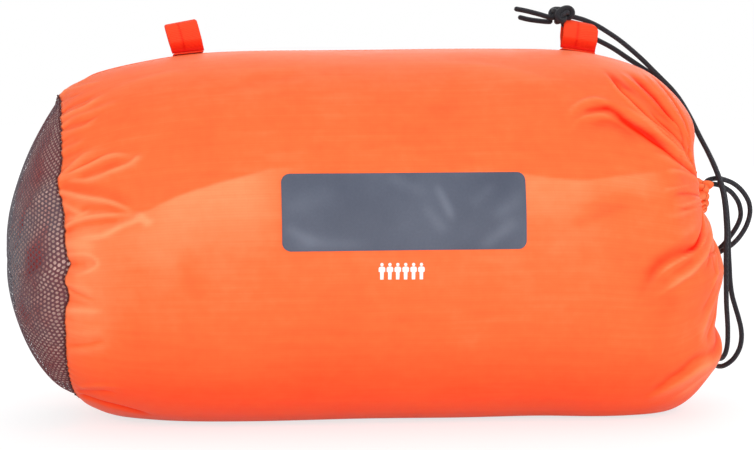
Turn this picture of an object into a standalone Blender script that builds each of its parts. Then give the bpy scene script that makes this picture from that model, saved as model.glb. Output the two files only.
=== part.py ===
"""A group shelter packed in its drawstring stuff sack, lying on its side.

Metres, +Z up. The drawn mouth is at +X, the net base at -X, the printed front faces -Y,
and the sack rests on z = 0 with the origin under the middle of its body.
"""

from math import asin, cos, pi, radians, sin, sqrt, tan

import bmesh
import bpy
import numpy as np
from mathutils import Matrix, Vector

MM = 0.001

# Outer size of the stuffed sack
BAG_LENGTH = 350 * MM
BAG_HEIGHT = 178 * MM
BAG_DEPTH = 194 * MM
SECTION_POWER = 2.15
FLOOR_BLEND = 2.5 * MM

# Fabrics, tapes and the clearance between pieces that touch
FABRIC_WALL = 0.9 * MM
NET_WALL = 0.8 * MM
SEAT_GAP = 0.3 * MM
BINDING_WALL = 0.8 * MM
PRINT_WALL = 0.35 * MM

# Seam allowances, in sections from the base edge, and how far the side slopes in there
NET_SKIRT = 1.0
BINDING_FROM = 0.3
BINDING_WIDTH = 0.6
EDGE_SLOPE = 1.6

# Facets: the sides of every ring, and the sections that the sack's own rings lie on
RING_SIDES = 36
SACK_STATIONS = (
    0, 0.5, 1, 1.5, 2, 3, 4, 5, 6.5, 8, 9, 9.7, 10.3, 10.9, 11.4, 11.9,
    12.4, 13, 13.6, 14.2, 14.8, 15.4, 16, 16.7, 17.4, 18,
)
NET_RINGS = 8
NET_RINGS_TO = 0.93

# Each section of the sack, from the base edge to the neck: top x and z, foot x and z, side x,
# half depth and shift in y, as shares of the length, the height and the depth
SECTIONS = np.array([
    (-0.426, 0.876, -0.400, +0.056, -0.411, 0.381, +0.000),
    (-0.411, 0.899, -0.391, +0.039, -0.400, 0.407, +0.000),
    (-0.389, 0.921, -0.374, +0.022, -0.380, 0.433, +0.000),
    (-0.349, 0.951, -0.343, +0.006, -0.346, 0.459, +0.000),
    (-0.294, 0.975, -0.294, -0.008, -0.294, 0.479, +0.000),
    (-0.214, 0.994, -0.214, -0.020, -0.214, 0.492, +0.000),
    (-0.086, 1.000, -0.086, -0.022, -0.086, 0.500, +0.000),
    (+0.057, 1.000, +0.057, -0.022, +0.057, 0.500, +0.000),
    (+0.186, 1.003, +0.186, -0.022, +0.186, 0.500, +0.000),
    (+0.271, 1.000, +0.277, -0.028, +0.274, 0.495, +0.000),
    (+0.337, 0.980, +0.360, -0.034, +0.343, 0.479, +0.000),
    (+0.389, 0.941, +0.426, -0.011, +0.400, 0.443, -0.005),
    (+0.421, 0.893, +0.467, +0.039, +0.434, 0.392, -0.010),
    (+0.443, 0.834, +0.490, +0.112, +0.454, 0.330, -0.021),
    (+0.451, 0.775, +0.500, +0.197, +0.467, 0.263, -0.031),
    (+0.450, 0.730, +0.498, +0.298, +0.473, 0.196, -0.041),
    (+0.454, 0.691, +0.495, +0.399, +0.478, 0.134, -0.046),
    (+0.461, 0.657, +0.479, +0.478, +0.471, 0.080, -0.052),
    (+0.471, 0.633, +0.473, +0.543, +0.472, 0.043, -0.052),
])
BASE_BULGE_X = -0.497 * BAG_LENGTH
BASE_BULGE_Z = 0.438 * BAG_HEIGHT
BASE_BULGE_LOW = 1.25
BASE_BULGE_HIGH = 0.75
NORMAL_STEP = 1e-3

# Print patch on the front
PRINT_WIDTH = 109.5 * MM
PRINT_HEIGHT = 34.5 * MM
PRINT_CORNER = 4 * MM
PRINT_CENTRE_X = 7 * MM
PRINT_CENTRE_Z = 105.7 * MM
PRINT_ROWS = 6
PRINT_COLUMNS = 9
PRINT_CORNER_COLUMNS = 4

# Lengthwise seam on the top, just behind the crest
SEAM_ANGLE = radians(97.3)
SEAM_WIDTH = 9 * MM
SEAM_WALL = 0.7 * MM
SEAM_FROM_X = -136 * MM
SEAM_TO_X = 134 * MM
SEAM_TANGENT_STEP = 0.05

# Tape loops sewn on that seam
TAPE_WIDTH = 16 * MM
TAPE_WALL = 1.0 * MM
LOOP_HALF_GAP = 3.3 * MM
LOOP_FOOT_RADIUS = 1.1 * MM
LOOP_FOOT_INSIDE = 0.1 * MM
LOOP_FLARE = 5 * MM
LOOP_SIDE_STEPS = 9
LOOP_FOLD_STEPS = 9
LOOP_FOOT_STEPS = 5
STITCH_TAB_WALL = 0.6 * MM
STITCH_TAB_DEPTH = 9 * MM
STITCH_TAB_CORNER = 1 * MM
BASE_LOOP_X = -85.2 * MM
BASE_LOOP_RISE = 13.5 * MM
BASE_LOOP_LEAN = radians(7.4)
BASE_LOOP_CORNER = 1 * MM
MOUTH_LOOP_X = 108.3 * MM
MOUTH_LOOP_RISE = 11.3 * MM
MOUTH_LOOP_LEAN = radians(4.7)
MOUTH_LOOP_CORNER = 3.5 * MM

# Drawcord, and the hem round the mouth that holds it
CORD_DIAMETER = 2.5 * MM
CORD_RADIUS = CORD_DIAMETER / 2
CHANNEL_GAP = 0.35 * MM
CHANNEL_WALL = 0.8 * MM
HEM_RADIUS = 6 * MM
HEM_X = 167.4 * MM
HEM_Y = -10 * MM
HEM_Z = 104.8 * MM
HEM_STEPS = 16
HEM_SIDES = 8
CORD_FROM = radians(100)
CORD_TO = radians(365)
CORD_SHOWS = radians(10)
CORD_BREAK = 0.9 * MM

# Routes of the two cord ends, in millimetres: out of the hem, round the two arcs, down behind
# the end of the sack, up its right end, over its shoulder and to the knot at the tape loop
FRONT_STRAND = [
    (167.9, -8.9, 111.5), (169.4, -7.2, 112.5), (171.8, -5.7, 113.1), (174.9, -4.2, 113.3),
    (178.8, -2.2, 112.6), (184.6, 0.3, 110.3), (189.6, 2.8, 106.5), (193.3, 4.8, 101.6),
    (194.7, 6, 97.2), (194.6, 6.8, 92.9), (192.9, 7, 87.9), (189.7, 7, 82.9),
    (186, 7.2, 79.1), (182.8, 8.4, 76.8), (179.9, 11.2, 74.3), (177.9, 15, 70.1),
    (177, 18.3, 64.7), (176.9, 20.5, 57.3), (177.1, 21, 48.6), (177.7, 20, 39),
    (178.3, 17, 30.7), (178.6, 11.8, 25), (178.7, 5.2, 22.3), (179.1, -1.2, 22.9),
    (179.7, -6, 26), (180, -8.7, 31), (179.8, -10, 37.7), (179.3, -10.6, 44.3),
    (178.7, -11, 50.8), (178.4, -11.2, 58.3), (178.2, -11.4, 65.8), (178, -11.7, 73.3),
    (177.9, -12.1, 80.8), (177.9, -12.5, 87.3), (177.4, -12.8, 94.2), (176.8, -12.9, 100.3),
    (175.7, -12.7, 107.1), (174, -11.4, 113.7), (172.2, -7.4, 120.5), (170.3, -1.5, 127.2),
    (167.9, 4.5, 134), (164.7, 9.8, 142.6), (160.5, 13, 150.8), (156.2, 14.5, 156.7),
    (151.7, 15, 161.3), (146.6, 15.2, 166.3), (141.4, 15.4, 171.4), (135.9, 15.8, 176.3),
    (129.9, 16.5, 181.2), (124.4, 17.3, 185), (118.5, 18, 188.6), (112.3, 17.9, 191.3),
    (107.7, 16.6, 192.6), (103.6, 15, 193.5),
]
BACK_STRAND = [
    (168.1, -4.1, 108.1), (169.9, -4.1, 109.8), (172.6, -3.5, 110.4), (176.4, -1.8, 109.8),
    (180.3, 0.6, 108.1), (184.6, 3.2, 105.4), (188.5, 6, 100.9), (190.3, 7.8, 96.4),
    (190.7, 9.2, 92.8), (189.7, 10.2, 89), (187.7, 10.8, 85.3), (185.3, 11.4, 81.8),
    (182.9, 12.8, 78.4), (180.3, 15.5, 74.9), (178, 19.6, 70.2), (176.6, 22.8, 64),
    (176.1, 24.6, 55.9), (176.4, 25.2, 47.1), (177.1, 24.6, 37.4), (178, 21.5, 27.5),
    (178.3, 15.5, 20.9), (179, 9, 18), (180, 3, 18.2), (181.7, -1.4, 19.8),
    (184, -4.2, 22.5), (185.8, -5.8, 25.8), (187.1, -6.8, 29.6), (187.6, -7.2, 34.2),
    (187.1, -7.4, 39), (185.7, -7.6, 44.3), (183.9, -7.8, 49.9), (182.3, -7.9, 55.4),
    (181.2, -8.1, 62.4), (180.6, -8.5, 70), (180, -9, 77), (179.7, -9.4, 85),
    (179.1, -9.7, 92.5), (178.3, -9.8, 99.9), (177.1, -9.6, 106.9), (175.3, -8.3, 113.2),
    (173.4, -4.3, 119.9), (171.4, 1.5, 126.5), (168.9, 7.5, 133.5), (165.6, 12.8, 142),
    (161.4, 16, 149.9), (156.8, 17.6, 155.4), (151.8, 18.1, 160.1), (146.2, 17.8, 164.4),
    (140.3, 17, 168.3), (133.4, 15.8, 172.7), (126, 14.8, 177.4), (119.2, 14.2, 180.9),
    (113.1, 14, 183.7), (107, 14, 186.3), (101.2, 13.9, 188.7),
]
FRONT_TAIL = [(94.2, 11.9, 192.6), (87.2, 11.2, 194.5), (81.1, 10.6, 196), (75.2, 10, 197.1)]
BACK_TAIL = [(93.6, 14.8, 190.6), (88.4, 14.5, 191), (82.7, 14, 191.8), (77.8, 13.6, 193)]
CORD_STEPS = (5.5 * MM, 13 * MM)
CORD_STEP_IN_BEND = 0.75
CORD_STEP_IN_HEM = 2.6 * MM
CORD_FINENESS = 40
CORD_EVENING = 9
LEAST_TURN = 1e-6
KNOT_CENTRE = (98.7 * MM, 13.8 * MM, 193.7 * MM)
KNOT_RADII = (5.2 * MM, 4.4 * MM, 3.5 * MM)
KNOT_TILT = radians(45)
KNOT_SIDES = 16
KNOT_RINGS = 8
KNOT_RINGS_TO = 0.86
KNOT_TURNS = 3
KNOT_LUMP = 0.06

# The packed shelter: depth below the sack's outer face of each layer, from the outside in
CANOPY_INSET = 1.4 * MM
CANOPY_BASE_INSET = 6.2 * MM
CANOPY_FILLS_BY = 3.5
CANOPY_MOUTH_INSET = 4.2 * MM
CANOPY_NARROWS_FROM = 9.5
CANOPY_TO = 11.9
CANOPY_DOME = (0.92, 0.7, 0.45, 0.2)
CANOPY_WALL = 28 * MM
LAYER_GAP = 0.5 * MM
STRIP_WALL = 0.8 * MM
SEAT_WALL = 11 * MM
WINDOW_WALL = 2.5 * MM
SLEEVE_WALL = 8 * MM
LAYER_STATIONS = (3.7, 4.3, 5, 6.5, 8, 9.2, 10.4)
SLEEVE_STATIONS = 5
POCKET_FLOOR = 3.68
POCKET_MOUTH = (11.5, 11)
CORE_TIP = (11, 11.7, 12.4)
LAYER_SPLIT_SIDES = 1
STRIP_SIDES = 6

# Colours as linear red, green and blue, with roughness
ORANGE = (0.93, 0.17, 0.055)
ORANGE_RED = (0.90, 0.06, 0.025)
NET_GREY = (0.12, 0.09, 0.10)
CORD_BLACK = (0.024, 0.024, 0.030)
PRINT_GREY = (0.19, 0.23, 0.29)
SEAT_GREY = (0.10, 0.10, 0.11)
WINDOW_CLEAR = (0.70, 0.74, 0.76)
SILVER = (0.62, 0.63, 0.64)


def clear_scene():
    for obj in list(bpy.data.objects):
        bpy.data.objects.remove(obj, do_unlink=True)


def material(name, colour, roughness):
    """One plain finish."""
    made = bpy.data.materials.new(name)
    made.use_nodes = True
    shader = made.node_tree.nodes["Principled BSDF"]
    shader.inputs["Base Color"].default_value = (*colour, 1.0)
    shader.inputs["Roughness"].default_value = roughness
    made.diffuse_color = (*colour, 1.0)
    return made


def add_object(name, mesh, finish):
    obj = bpy.data.objects.new(name, mesh)
    obj.data.materials.append(finish)
    bpy.context.scene.collection.objects.link(obj)
    return obj


def smooth_step(share):
    share = np.clip(share, 0, 1)
    return share * share * (3 - 2 * share)


def catmull_rom(table, at):
    """Rows of the table read at fractional row numbers, on a smooth curve through all of them."""
    last = len(table) - 1
    row = np.clip(np.floor(at).astype(int), 0, last - 1)
    t = (at - row)[:, None]
    before, start = table[np.maximum(row - 1, 0)], table[row]
    end, after = table[row + 1], table[np.minimum(row + 2, last)]
    return 0.5 * (
        2 * start
        + (end - before) * t
        + (2 * before - 5 * start + 4 * end - after) * t**2
        + (3 * start - before - 3 * end + after) * t**3
    )


def section_rows(stations):
    """The sections at these stations in metres, as seven columns."""
    scale = np.array([
        BAG_LENGTH, BAG_HEIGHT, BAG_LENGTH, BAG_HEIGHT, BAG_LENGTH, BAG_DEPTH, BAG_DEPTH,
    ])
    return (catmull_rom(SECTIONS, np.asarray(stations, float)) * scale).T[:, :, None]


def settled(height, floor):
    """Heights held at the floor, with a soft turn into it."""
    share = np.clip(0.5 + 0.5 * (height - floor) / FLOOR_BLEND, 0, 1)
    return floor + (height - floor) * share + FLOOR_BLEND * share * (1 - share)


def sack_rings(stations, angles, inset=0.0):
    """Closed rings round the sack: a flattened oval through each section's top, foot and sides.

    Angle 0 is the front, a quarter turn the top. The inset draws each oval in.
    """
    top_x, top_z, foot_x, foot_z, side_x, half_depth, shift = section_rows(stations)
    power = 2 / SECTION_POWER
    up = np.sign(np.sin(angles)) * np.abs(np.sin(angles)) ** power
    front = np.sign(np.cos(angles)) * np.abs(np.cos(angles)) ** power
    half_rise = (top_z - foot_z) / 2
    drawn = 1 - inset / half_rise
    x = side_x + ((top_x + foot_x) / 2 - side_x) * up**2 + (top_x - foot_x) / 2 * up * drawn
    y = shift - (half_depth - inset) * front
    z = settled((top_z + foot_z) / 2 + half_rise * drawn * up, inset)
    return np.stack([x, y, z], axis=-1)


def sack_point(station, angle, lift=0.0):
    """A point on the sack's outer face, lifted along its normal, with the normal."""
    steps = np.array([-NORMAL_STEP, 0, NORMAL_STEP])
    around = sack_rings(station + steps, angle + steps)
    normal = np.cross(around[2, 1] - around[0, 1], around[1, 2] - around[1, 0])
    normal /= np.linalg.norm(normal)
    if normal @ (around[1, 1] - (around[1, 1][0], 0, BAG_HEIGHT / 2)) < 0:
        normal = -normal
    return around[1, 1] + lift * normal, normal


def base_rings(shares, angles, inset, bulge_inset):
    """Rings of the rounded base, from the sack's edge at share 0 to its furthest point at 1."""
    edge = sack_rings([0], angles, inset)[0]
    middle = (edge.max(axis=0) + edge.min(axis=0)) / 2
    reach = np.array([BASE_BULGE_X + bulge_inset, 0, BASE_BULGE_Z]) - middle
    turn = (np.asarray(shares) * pi / 2)[:, None]
    flatness = BASE_BULGE_LOW + BASE_BULGE_HIGH * np.clip(np.sin(angles), 0, 1)
    out = np.sin(turn) ** flatness
    return middle + (edge - middle) * np.cos(turn)[:, :, None] + reach * out[:, :, None]


def ring_angles(count=RING_SIDES):
    return np.arange(count) * 2 * pi / count


def station_at(x):
    """The station whose section lies at this x, along the straight middle of the sack."""
    side_x = SECTIONS[:, 4] * BAG_LENGTH
    straight = side_x.argmax() + 1
    return float(np.interp(x, side_x[:straight], np.arange(straight)))


def loft(name, rings, finish, first_pole=None, last_pole=None, joined=False):
    """A skin over closed rings, with a pole at either end or the last ring joined to the first."""
    mesh = bmesh.new()
    rows = [[mesh.verts.new(point) for point in ring] for ring in rings]
    pairs = list(zip(rows, rows[1:]))
    if joined:
        pairs.append((rows[-1], rows[0]))
    count = len(rows[0])
    for here, there in pairs:
        for i in range(count):
            j = (i + 1) % count
            mesh.faces.new((here[i], here[j], there[j], there[i]))
    for row, pole in ((rows[0], first_pole), (rows[-1], last_pole)):
        if pole is None:
            continue
        tip = mesh.verts.new(pole)
        for i in range(count):
            mesh.faces.new((row[i], tip, row[(i + 1) % count]))
    return finished(name, mesh, finish)


def slab(name, outer, inner, finish):
    """A thick sheet between two grids of points, closed round its four edges."""
    rows, columns = outer.shape[:2]
    mesh = bmesh.new()
    top = [[mesh.verts.new(point) for point in row] for row in outer]
    low = [[mesh.verts.new(point) for point in row] for row in inner]
    for i in range(rows - 1):
        for j in range(columns - 1):
            mesh.faces.new((top[i][j], top[i + 1][j], top[i + 1][j + 1], top[i][j + 1]))
            mesh.faces.new((low[i][j], low[i][j + 1], low[i + 1][j + 1], low[i + 1][j]))
    edge = [(i, 0) for i in range(rows)]
    edge += [(rows - 1, j) for j in range(1, columns)]
    edge += [(i, columns - 1) for i in range(rows - 2, -1, -1)]
    edge += [(0, j) for j in range(columns - 2, 0, -1)]
    for (i, j), (k, m) in zip(edge, edge[1:] + edge[:1]):
        mesh.faces.new((top[i][j], low[i][j], low[k][m], top[k][m]))
    return finished(name, mesh, finish)


def finished(name, mesh, finish):
    """The built mesh as an object, smooth but for its sharp edges, facing out."""
    bmesh.ops.recalc_face_normals(mesh, faces=mesh.faces)
    data = bpy.data.meshes.new(name)
    mesh.to_mesh(data)
    mesh.free()
    data.shade_smooth()
    data.set_sharp_from_angle(angle=radians(40))
    return add_object(name, data, finish)


def thicken(obj, wall):
    """Gives a skin its wall, inwards from the face that shows."""
    solidify = obj.modifiers.new("wall", "SOLIDIFY")
    solidify.thickness = wall
    solidify.offset = -1


def sack_body(finish):
    """The fabric sack, open at the net base and at the drawn neck."""
    thicken(loft("sack_body", sack_rings(SACK_STATIONS, ring_angles()), finish), FABRIC_WALL)


def base_net_panel(finish):
    """The round net panel, with its skirt sewn inside the sack's edge."""
    inset = EDGE_SLOPE * (FABRIC_WALL + SEAT_GAP)
    angles = ring_angles()
    skirt = sack_rings([NET_SKIRT, NET_SKIRT / 2], angles, inset)
    dome = base_rings(np.linspace(0, NET_RINGS_TO, NET_RINGS), angles, inset, 0)
    tip = base_rings([1.0], angles, inset, 0)[0].mean(axis=0)
    thicken(loft("base_net_panel", [*skirt, *dome], finish, last_pole=tip), NET_WALL)


def base_seam_binding(finish):
    """The tape that binds the raw edges of net and sack together, inside the seam."""
    inset = EDGE_SLOPE * (FABRIC_WALL + SEAT_GAP + NET_WALL + SEAT_GAP)
    stations = BINDING_FROM + np.linspace(0, BINDING_WIDTH, 3)
    rings = sack_rings(stations, ring_angles(), inset)
    thicken(loft("base_seam_binding", rings, finish), BINDING_WALL)


def lengthwise_seam(finish):
    """The flat seam along the top that closes the tube of the sack and holds the loops."""
    start, end = station_at(SEAM_FROM_X), station_at(SEAM_TO_X)
    stations = [start, *(s for s in SACK_STATIONS if start < s < end), end]
    half = SEAM_WIDTH / BAG_DEPTH
    angles = (SEAM_ANGLE - half, SEAM_ANGLE, SEAM_ANGLE + half)

    def face(lift):
        return np.array([[sack_point(s, a, lift)[0] for a in angles] for s in stations])

    slab("lengthwise_seam", face(SEAT_GAP + SEAM_WALL), face(SEAT_GAP), finish)


def print_patch(finish):
    """The rounded patch on the front that carries the print."""
    half_width = PRINT_WIDTH / 2
    columns = np.concatenate([
        np.linspace(-half_width, PRINT_CORNER - half_width, PRINT_CORNER_COLUMNS),
        np.linspace(-half_width, half_width, PRINT_COLUMNS)[1:-1],
        np.linspace(half_width - PRINT_CORNER, half_width, PRINT_CORNER_COLUMNS),
    ])
    rows = np.linspace(-1, 1, PRINT_ROWS)

    def face(lift):
        grid = []
        for column in columns:
            station = station_at(PRINT_CENTRE_X + column)
            _, top, _, foot, _, _, _ = section_rows([station])[:, 0, 0]
            past = max(0, abs(column) - (half_width - PRINT_CORNER))
            half = PRINT_HEIGHT / 2 - PRINT_CORNER + sqrt(max(0, PRINT_CORNER**2 - past**2))
            heights = (PRINT_CENTRE_Z + rows * half - (top + foot) / 2) / ((top - foot) / 2)
            turns = [np.sign(h) * asin(abs(h) ** (SECTION_POWER / 2)) for h in heights]
            grid.append([sack_point(station, turn, lift)[0] for turn in turns])
        return np.array(grid)

    slab("print_patch", face(SEAT_GAP + PRINT_WALL), face(SEAT_GAP), finish)


def seam_frame(x, lift, upright):
    """A placement on the seam: X along the seam, Z out of the sack, or upright across it."""
    station = station_at(x)
    point, normal = sack_point(station, SEAM_ANGLE, lift)
    before = sack_point(station - SEAM_TANGENT_STEP, SEAM_ANGLE)[0]
    after = sack_point(station + SEAM_TANGENT_STEP, SEAM_ANGLE)[0]
    along = Vector(after - before).normalized()
    out = Vector((normal[0], 0 if upright else normal[1], normal[2]))
    out = (out - along * out.dot(along)).normalized()
    across = out.cross(along)
    placed = Matrix((along, across, out)).transposed().to_4x4()
    placed.translation = Vector(point)
    return placed


def loop_contour(rise, reach):
    """One closed outline of the loop, seen along the seam: a foot, flared sides and a round fold.

    The reach is the half width of the fold, either the tape's outer or its inner face.
    """
    inner = reach < LOOP_HALF_GAP + TAPE_WALL / 2
    fold = rise - (LOOP_HALF_GAP + TAPE_WALL)
    foot = LOOP_FOOT_INSIDE if inner else LOOP_FOOT_RADIUS
    start = LOOP_FOOT_RADIUS if inner else 0.0
    heights = np.linspace(start, fold, LOOP_SIDE_STEPS)
    widths = foot + (reach - foot) * smooth_step((heights - start) / (LOOP_FLARE - start))
    side = list(zip(widths, heights))
    turn = np.linspace(0, pi, LOOP_FOLD_STEPS)[1:-1]
    crown = [(reach * cos(a), fold + reach * sin(a)) for a in turn]
    other = [(-w, h) for w, h in reversed(side)]
    under = np.linspace(0, pi, LOOP_FOOT_STEPS)[1:-1]
    bottom = [(-foot * cos(a), start - foot * sin(a)) for a in under]
    return np.array(side + crown + other + bottom)


def tape_loop(name, placed, rise, lean, corner, finish):
    """A folded tape loop that turns on its sewn foot, with rounded corners at its fold."""
    outer = loop_contour(rise, LOOP_HALF_GAP + TAPE_WALL)
    inner = loop_contour(rise, LOOP_HALF_GAP)

    def edge(contour, side):
        past = np.clip(contour[:, 1] - (rise - corner), 0, corner)
        half = TAPE_WIDTH / 2 - corner + np.sqrt(corner**2 - past**2)
        x = side * half - contour[:, 1] * tan(lean)
        return np.stack([x, contour[:, 0], contour[:, 1]], axis=-1)

    rings = [edge(outer, -1), edge(outer, 1), edge(inner, 1), edge(inner, -1)]
    loft(name, rings, finish, joined=True).matrix_world = placed


def stitch_tab(name, x, finish):
    """The loop's folded ends under their stitching, flat on the seam."""
    lift = SEAT_GAP + SEAM_WALL + SEAT_GAP + STITCH_TAB_WALL / 2
    mesh = bmesh.new()
    bmesh.ops.create_cube(mesh, size=1)
    sides = (TAPE_WIDTH, STITCH_TAB_DEPTH, STITCH_TAB_WALL)
    bmesh.ops.scale(mesh, vec=sides, verts=mesh.verts)
    corners = [e for e in mesh.edges if e.verts[0].co.z * e.verts[1].co.z < 0]
    bmesh.ops.bevel(
        mesh, geom=corners, offset=STITCH_TAB_CORNER, segments=3, profile=0.5, affect="EDGES"
    )
    finished(name, mesh, finish).matrix_world = seam_frame(x, lift, upright=False)


def hem_ring(radius, angle, x=HEM_X):
    """A point on a circle round the drawn mouth."""
    return np.array([x, HEM_Y + radius * cos(angle), HEM_Z + radius * sin(angle)])


def drawcord_hem(finish):
    """The hem channel round the mouth, a tube of fabric whose two ends let the cord out."""
    bore = CORD_RADIUS + CHANNEL_GAP
    turns = np.linspace(CORD_FROM + CORD_SHOWS, CORD_TO - CORD_SHOWS, HEM_STEPS)
    section = ring_angles(HEM_SIDES)

    def pipe(radius):
        rings = []
        for turn in turns:
            spoke = np.array([0, cos(turn), sin(turn)])
            offset = np.outer(np.cos(section), spoke) + np.outer(np.sin(section), (1, 0, 0))
            rings.append(hem_ring(HEM_RADIUS, turn) + radius * offset)
        return rings

    loft("drawcord_hem", pipe(bore + CHANNEL_WALL) + pipe(bore)[::-1], finish, joined=True)


def cord_tube(name, points, finish, steps=CORD_STEPS):
    """A round cord on a smooth curve through its route, with closer points where it bends."""
    route = np.array(points)
    fine = catmull_rom(route, np.linspace(0, len(route) - 1, CORD_FINENESS * len(route)))
    step = np.linalg.norm(np.diff(fine, axis=0), axis=1)
    heading = np.diff(fine, axis=0) / step[:, None]
    turned = np.append(np.linalg.norm(np.diff(heading, axis=0), axis=1), 0)
    turned = np.convolve(turned, np.full(CORD_EVENING, 1 / CORD_EVENING), mode="same")
    spacing = np.clip(CORD_STEP_IN_BEND * step / np.maximum(turned, LEAST_TURN), *steps)
    travelled = np.concatenate([[0], np.cumsum(step / spacing)])
    count = max(4, round(travelled[-1]) + 1)
    places = np.linspace(0, travelled[-1], count)
    chosen = np.stack([np.interp(places, travelled, axis) for axis in fine.T], axis=-1)
    curve = bpy.data.curves.new(name, "CURVE")
    curve.dimensions = "3D"
    curve.bevel_depth = CORD_RADIUS
    curve.bevel_resolution = 2
    curve.use_fill_caps = True
    spline = curve.splines.new("POLY")
    spline.points.add(count - 1)
    for point, place in zip(spline.points, chosen):
        point.co = (*place, 1)
    add_object(name, curve, finish)


def cord_out_of_hem(angle, way, route):
    """The route in metres, led on from the end of the cord in the hem."""
    end = hem_ring(HEM_RADIUS, angle)
    heading = way * np.array([0, -sin(angle), cos(angle)])
    return [end + CORD_BREAK * heading] + [np.array(point) * MM for point in route]


def drawcord(finish):
    """The cord: its turn inside the hem, its two strands, and the tails past the knot."""
    held = [hem_ring(HEM_RADIUS, turn) for turn in np.linspace(CORD_FROM, CORD_TO, HEM_STEPS)]
    cord_tube("drawcord_in_hem", held, finish, steps=(CORD_STEP_IN_HEM, CORD_STEP_IN_HEM))
    cord_tube("drawcord_front_strand", cord_out_of_hem(CORD_FROM, -1, FRONT_STRAND), finish)
    cord_tube("drawcord_back_strand", cord_out_of_hem(CORD_TO, 1, BACK_STRAND), finish)
    cord_tube("drawcord_front_tail", np.array(FRONT_TAIL) * MM, finish)
    cord_tube("drawcord_back_tail", np.array(BACK_TAIL) * MM, finish)


def drawcord_knot(finish):
    """The overhand knot of both strands, as a leaning ball with the lumps of its turns."""
    angles = ring_angles(KNOT_SIDES)
    centre = np.array(KNOT_CENTRE)
    long, deep, wide = KNOT_RADII
    lengthwise = np.array([cos(KNOT_TILT), 0, sin(KNOT_TILT)])
    crosswise = np.array([-sin(KNOT_TILT), 0, cos(KNOT_TILT)])
    rings = []
    for share in np.linspace(-KNOT_RINGS_TO, KNOT_RINGS_TO, KNOT_RINGS):
        swell = 1 + KNOT_LUMP * np.cos(KNOT_TURNS * (angles + share * pi / 2))
        girth = sqrt(1 - share**2) * swell
        ring = centre + share * long * lengthwise
        ring = ring + np.outer(girth * wide * np.sin(angles), crosswise)
        ring[:, 1] += girth * deep * np.cos(angles)
        rings.append(ring)
    reach = long * lengthwise
    loft("drawcord_knot", rings, finish, centre - reach, centre + reach)


def canopy_inset(station):
    """Depth of the canopy below the sack's face: more at the base's seam and at the mouth end."""
    filled = smooth_step((station - NET_SKIRT) / (CANOPY_FILLS_BY - NET_SKIRT))
    narrowed = smooth_step((station - CANOPY_NARROWS_FROM) / (CANOPY_TO - CANOPY_NARROWS_FROM))
    depth = CANOPY_BASE_INSET + (CANOPY_INSET - CANOPY_BASE_INSET) * filled
    return depth + (CANOPY_MOUTH_INSET - CANOPY_INSET) * narrowed


def canopy_roll(finish):
    """The rolled canopy: a thick outer wrap that fills the sack, and the core it is rolled on.

    Both come from the fold at the base, and the pocket between them holds the other panels.
    """
    angles = ring_angles()
    dome = base_rings(CANOPY_DOME, angles, CANOPY_BASE_INSET, CANOPY_INSET + NET_WALL)
    wrap = []
    for station in SACK_STATIONS:
        if station <= CANOPY_TO:
            wrap.append(sack_rings([station], angles, canopy_inset(station))[0])
    beside = [POCKET_FLOOR, *LAYER_STATIONS]
    pocket_side = sack_rings([*POCKET_MOUTH, *beside[::-1]], angles, CANOPY_INSET + CANOPY_WALL)
    core_side = sack_rings([*beside, *CORE_TIP], angles, core_inset())
    rings = [*dome, *wrap, *pocket_side, *core_side]
    loft("shelter_canopy", rings, finish, dome[0].mean(axis=0), core_side[-1].mean(axis=0))


def layer_insets():
    """Depth of each layer's outer face below the sack's, from the canopy's pocket inwards."""
    strip = CANOPY_INSET + CANOPY_WALL + LAYER_GAP
    seat = strip + STRIP_WALL + LAYER_GAP
    window = seat + SEAT_WALL + LAYER_GAP
    sleeve = window + WINDOW_WALL + LAYER_GAP
    return strip, seat, window, sleeve


def core_inset():
    return layer_insets()[3] + SLEEVE_WALL + LAYER_GAP


def packed_layer(name, inset, wall, sides, finish, stations=LAYER_STATIONS):
    """A folded panel laid round part of the roll, between two of the roll's sides."""
    angles = np.arange(sides[0], sides[1] + 1) * 2 * pi / RING_SIDES
    outer = sack_rings(stations, angles, inset)
    inner = sack_rings(stations, angles, inset + wall)
    slab(name, outer, inner, finish)


def packed_panels(seat, window, sleeve, silver):
    """The seats, windows, vent sleeves and reflective strips, folded in upper and lower halves."""
    strip_inset, seat_inset, window_inset, sleeve_inset = layer_insets()
    half_turn = RING_SIDES // 2
    to_x = LAYER_STATIONS[:SLEEVE_STATIONS]
    for place, start in (("upper", 0), ("lower", half_turn)):
        half = (start + LAYER_SPLIT_SIDES, start + half_turn - LAYER_SPLIT_SIDES)
        middle = start + half_turn // 2
        strip = (middle - STRIP_SIDES // 2, middle + STRIP_SIDES // 2)
        packed_layer(f"{place}_reflective_strip", strip_inset, STRIP_WALL, strip, silver)
        packed_layer(f"{place}_seat_panel", seat_inset, SEAT_WALL, half, seat)
        packed_layer(f"{place}_window_panel", window_inset, WINDOW_WALL, half, window)
        packed_layer(f"{place}_vent_sleeve", sleeve_inset, SLEEVE_WALL, half, sleeve, to_x)


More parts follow.
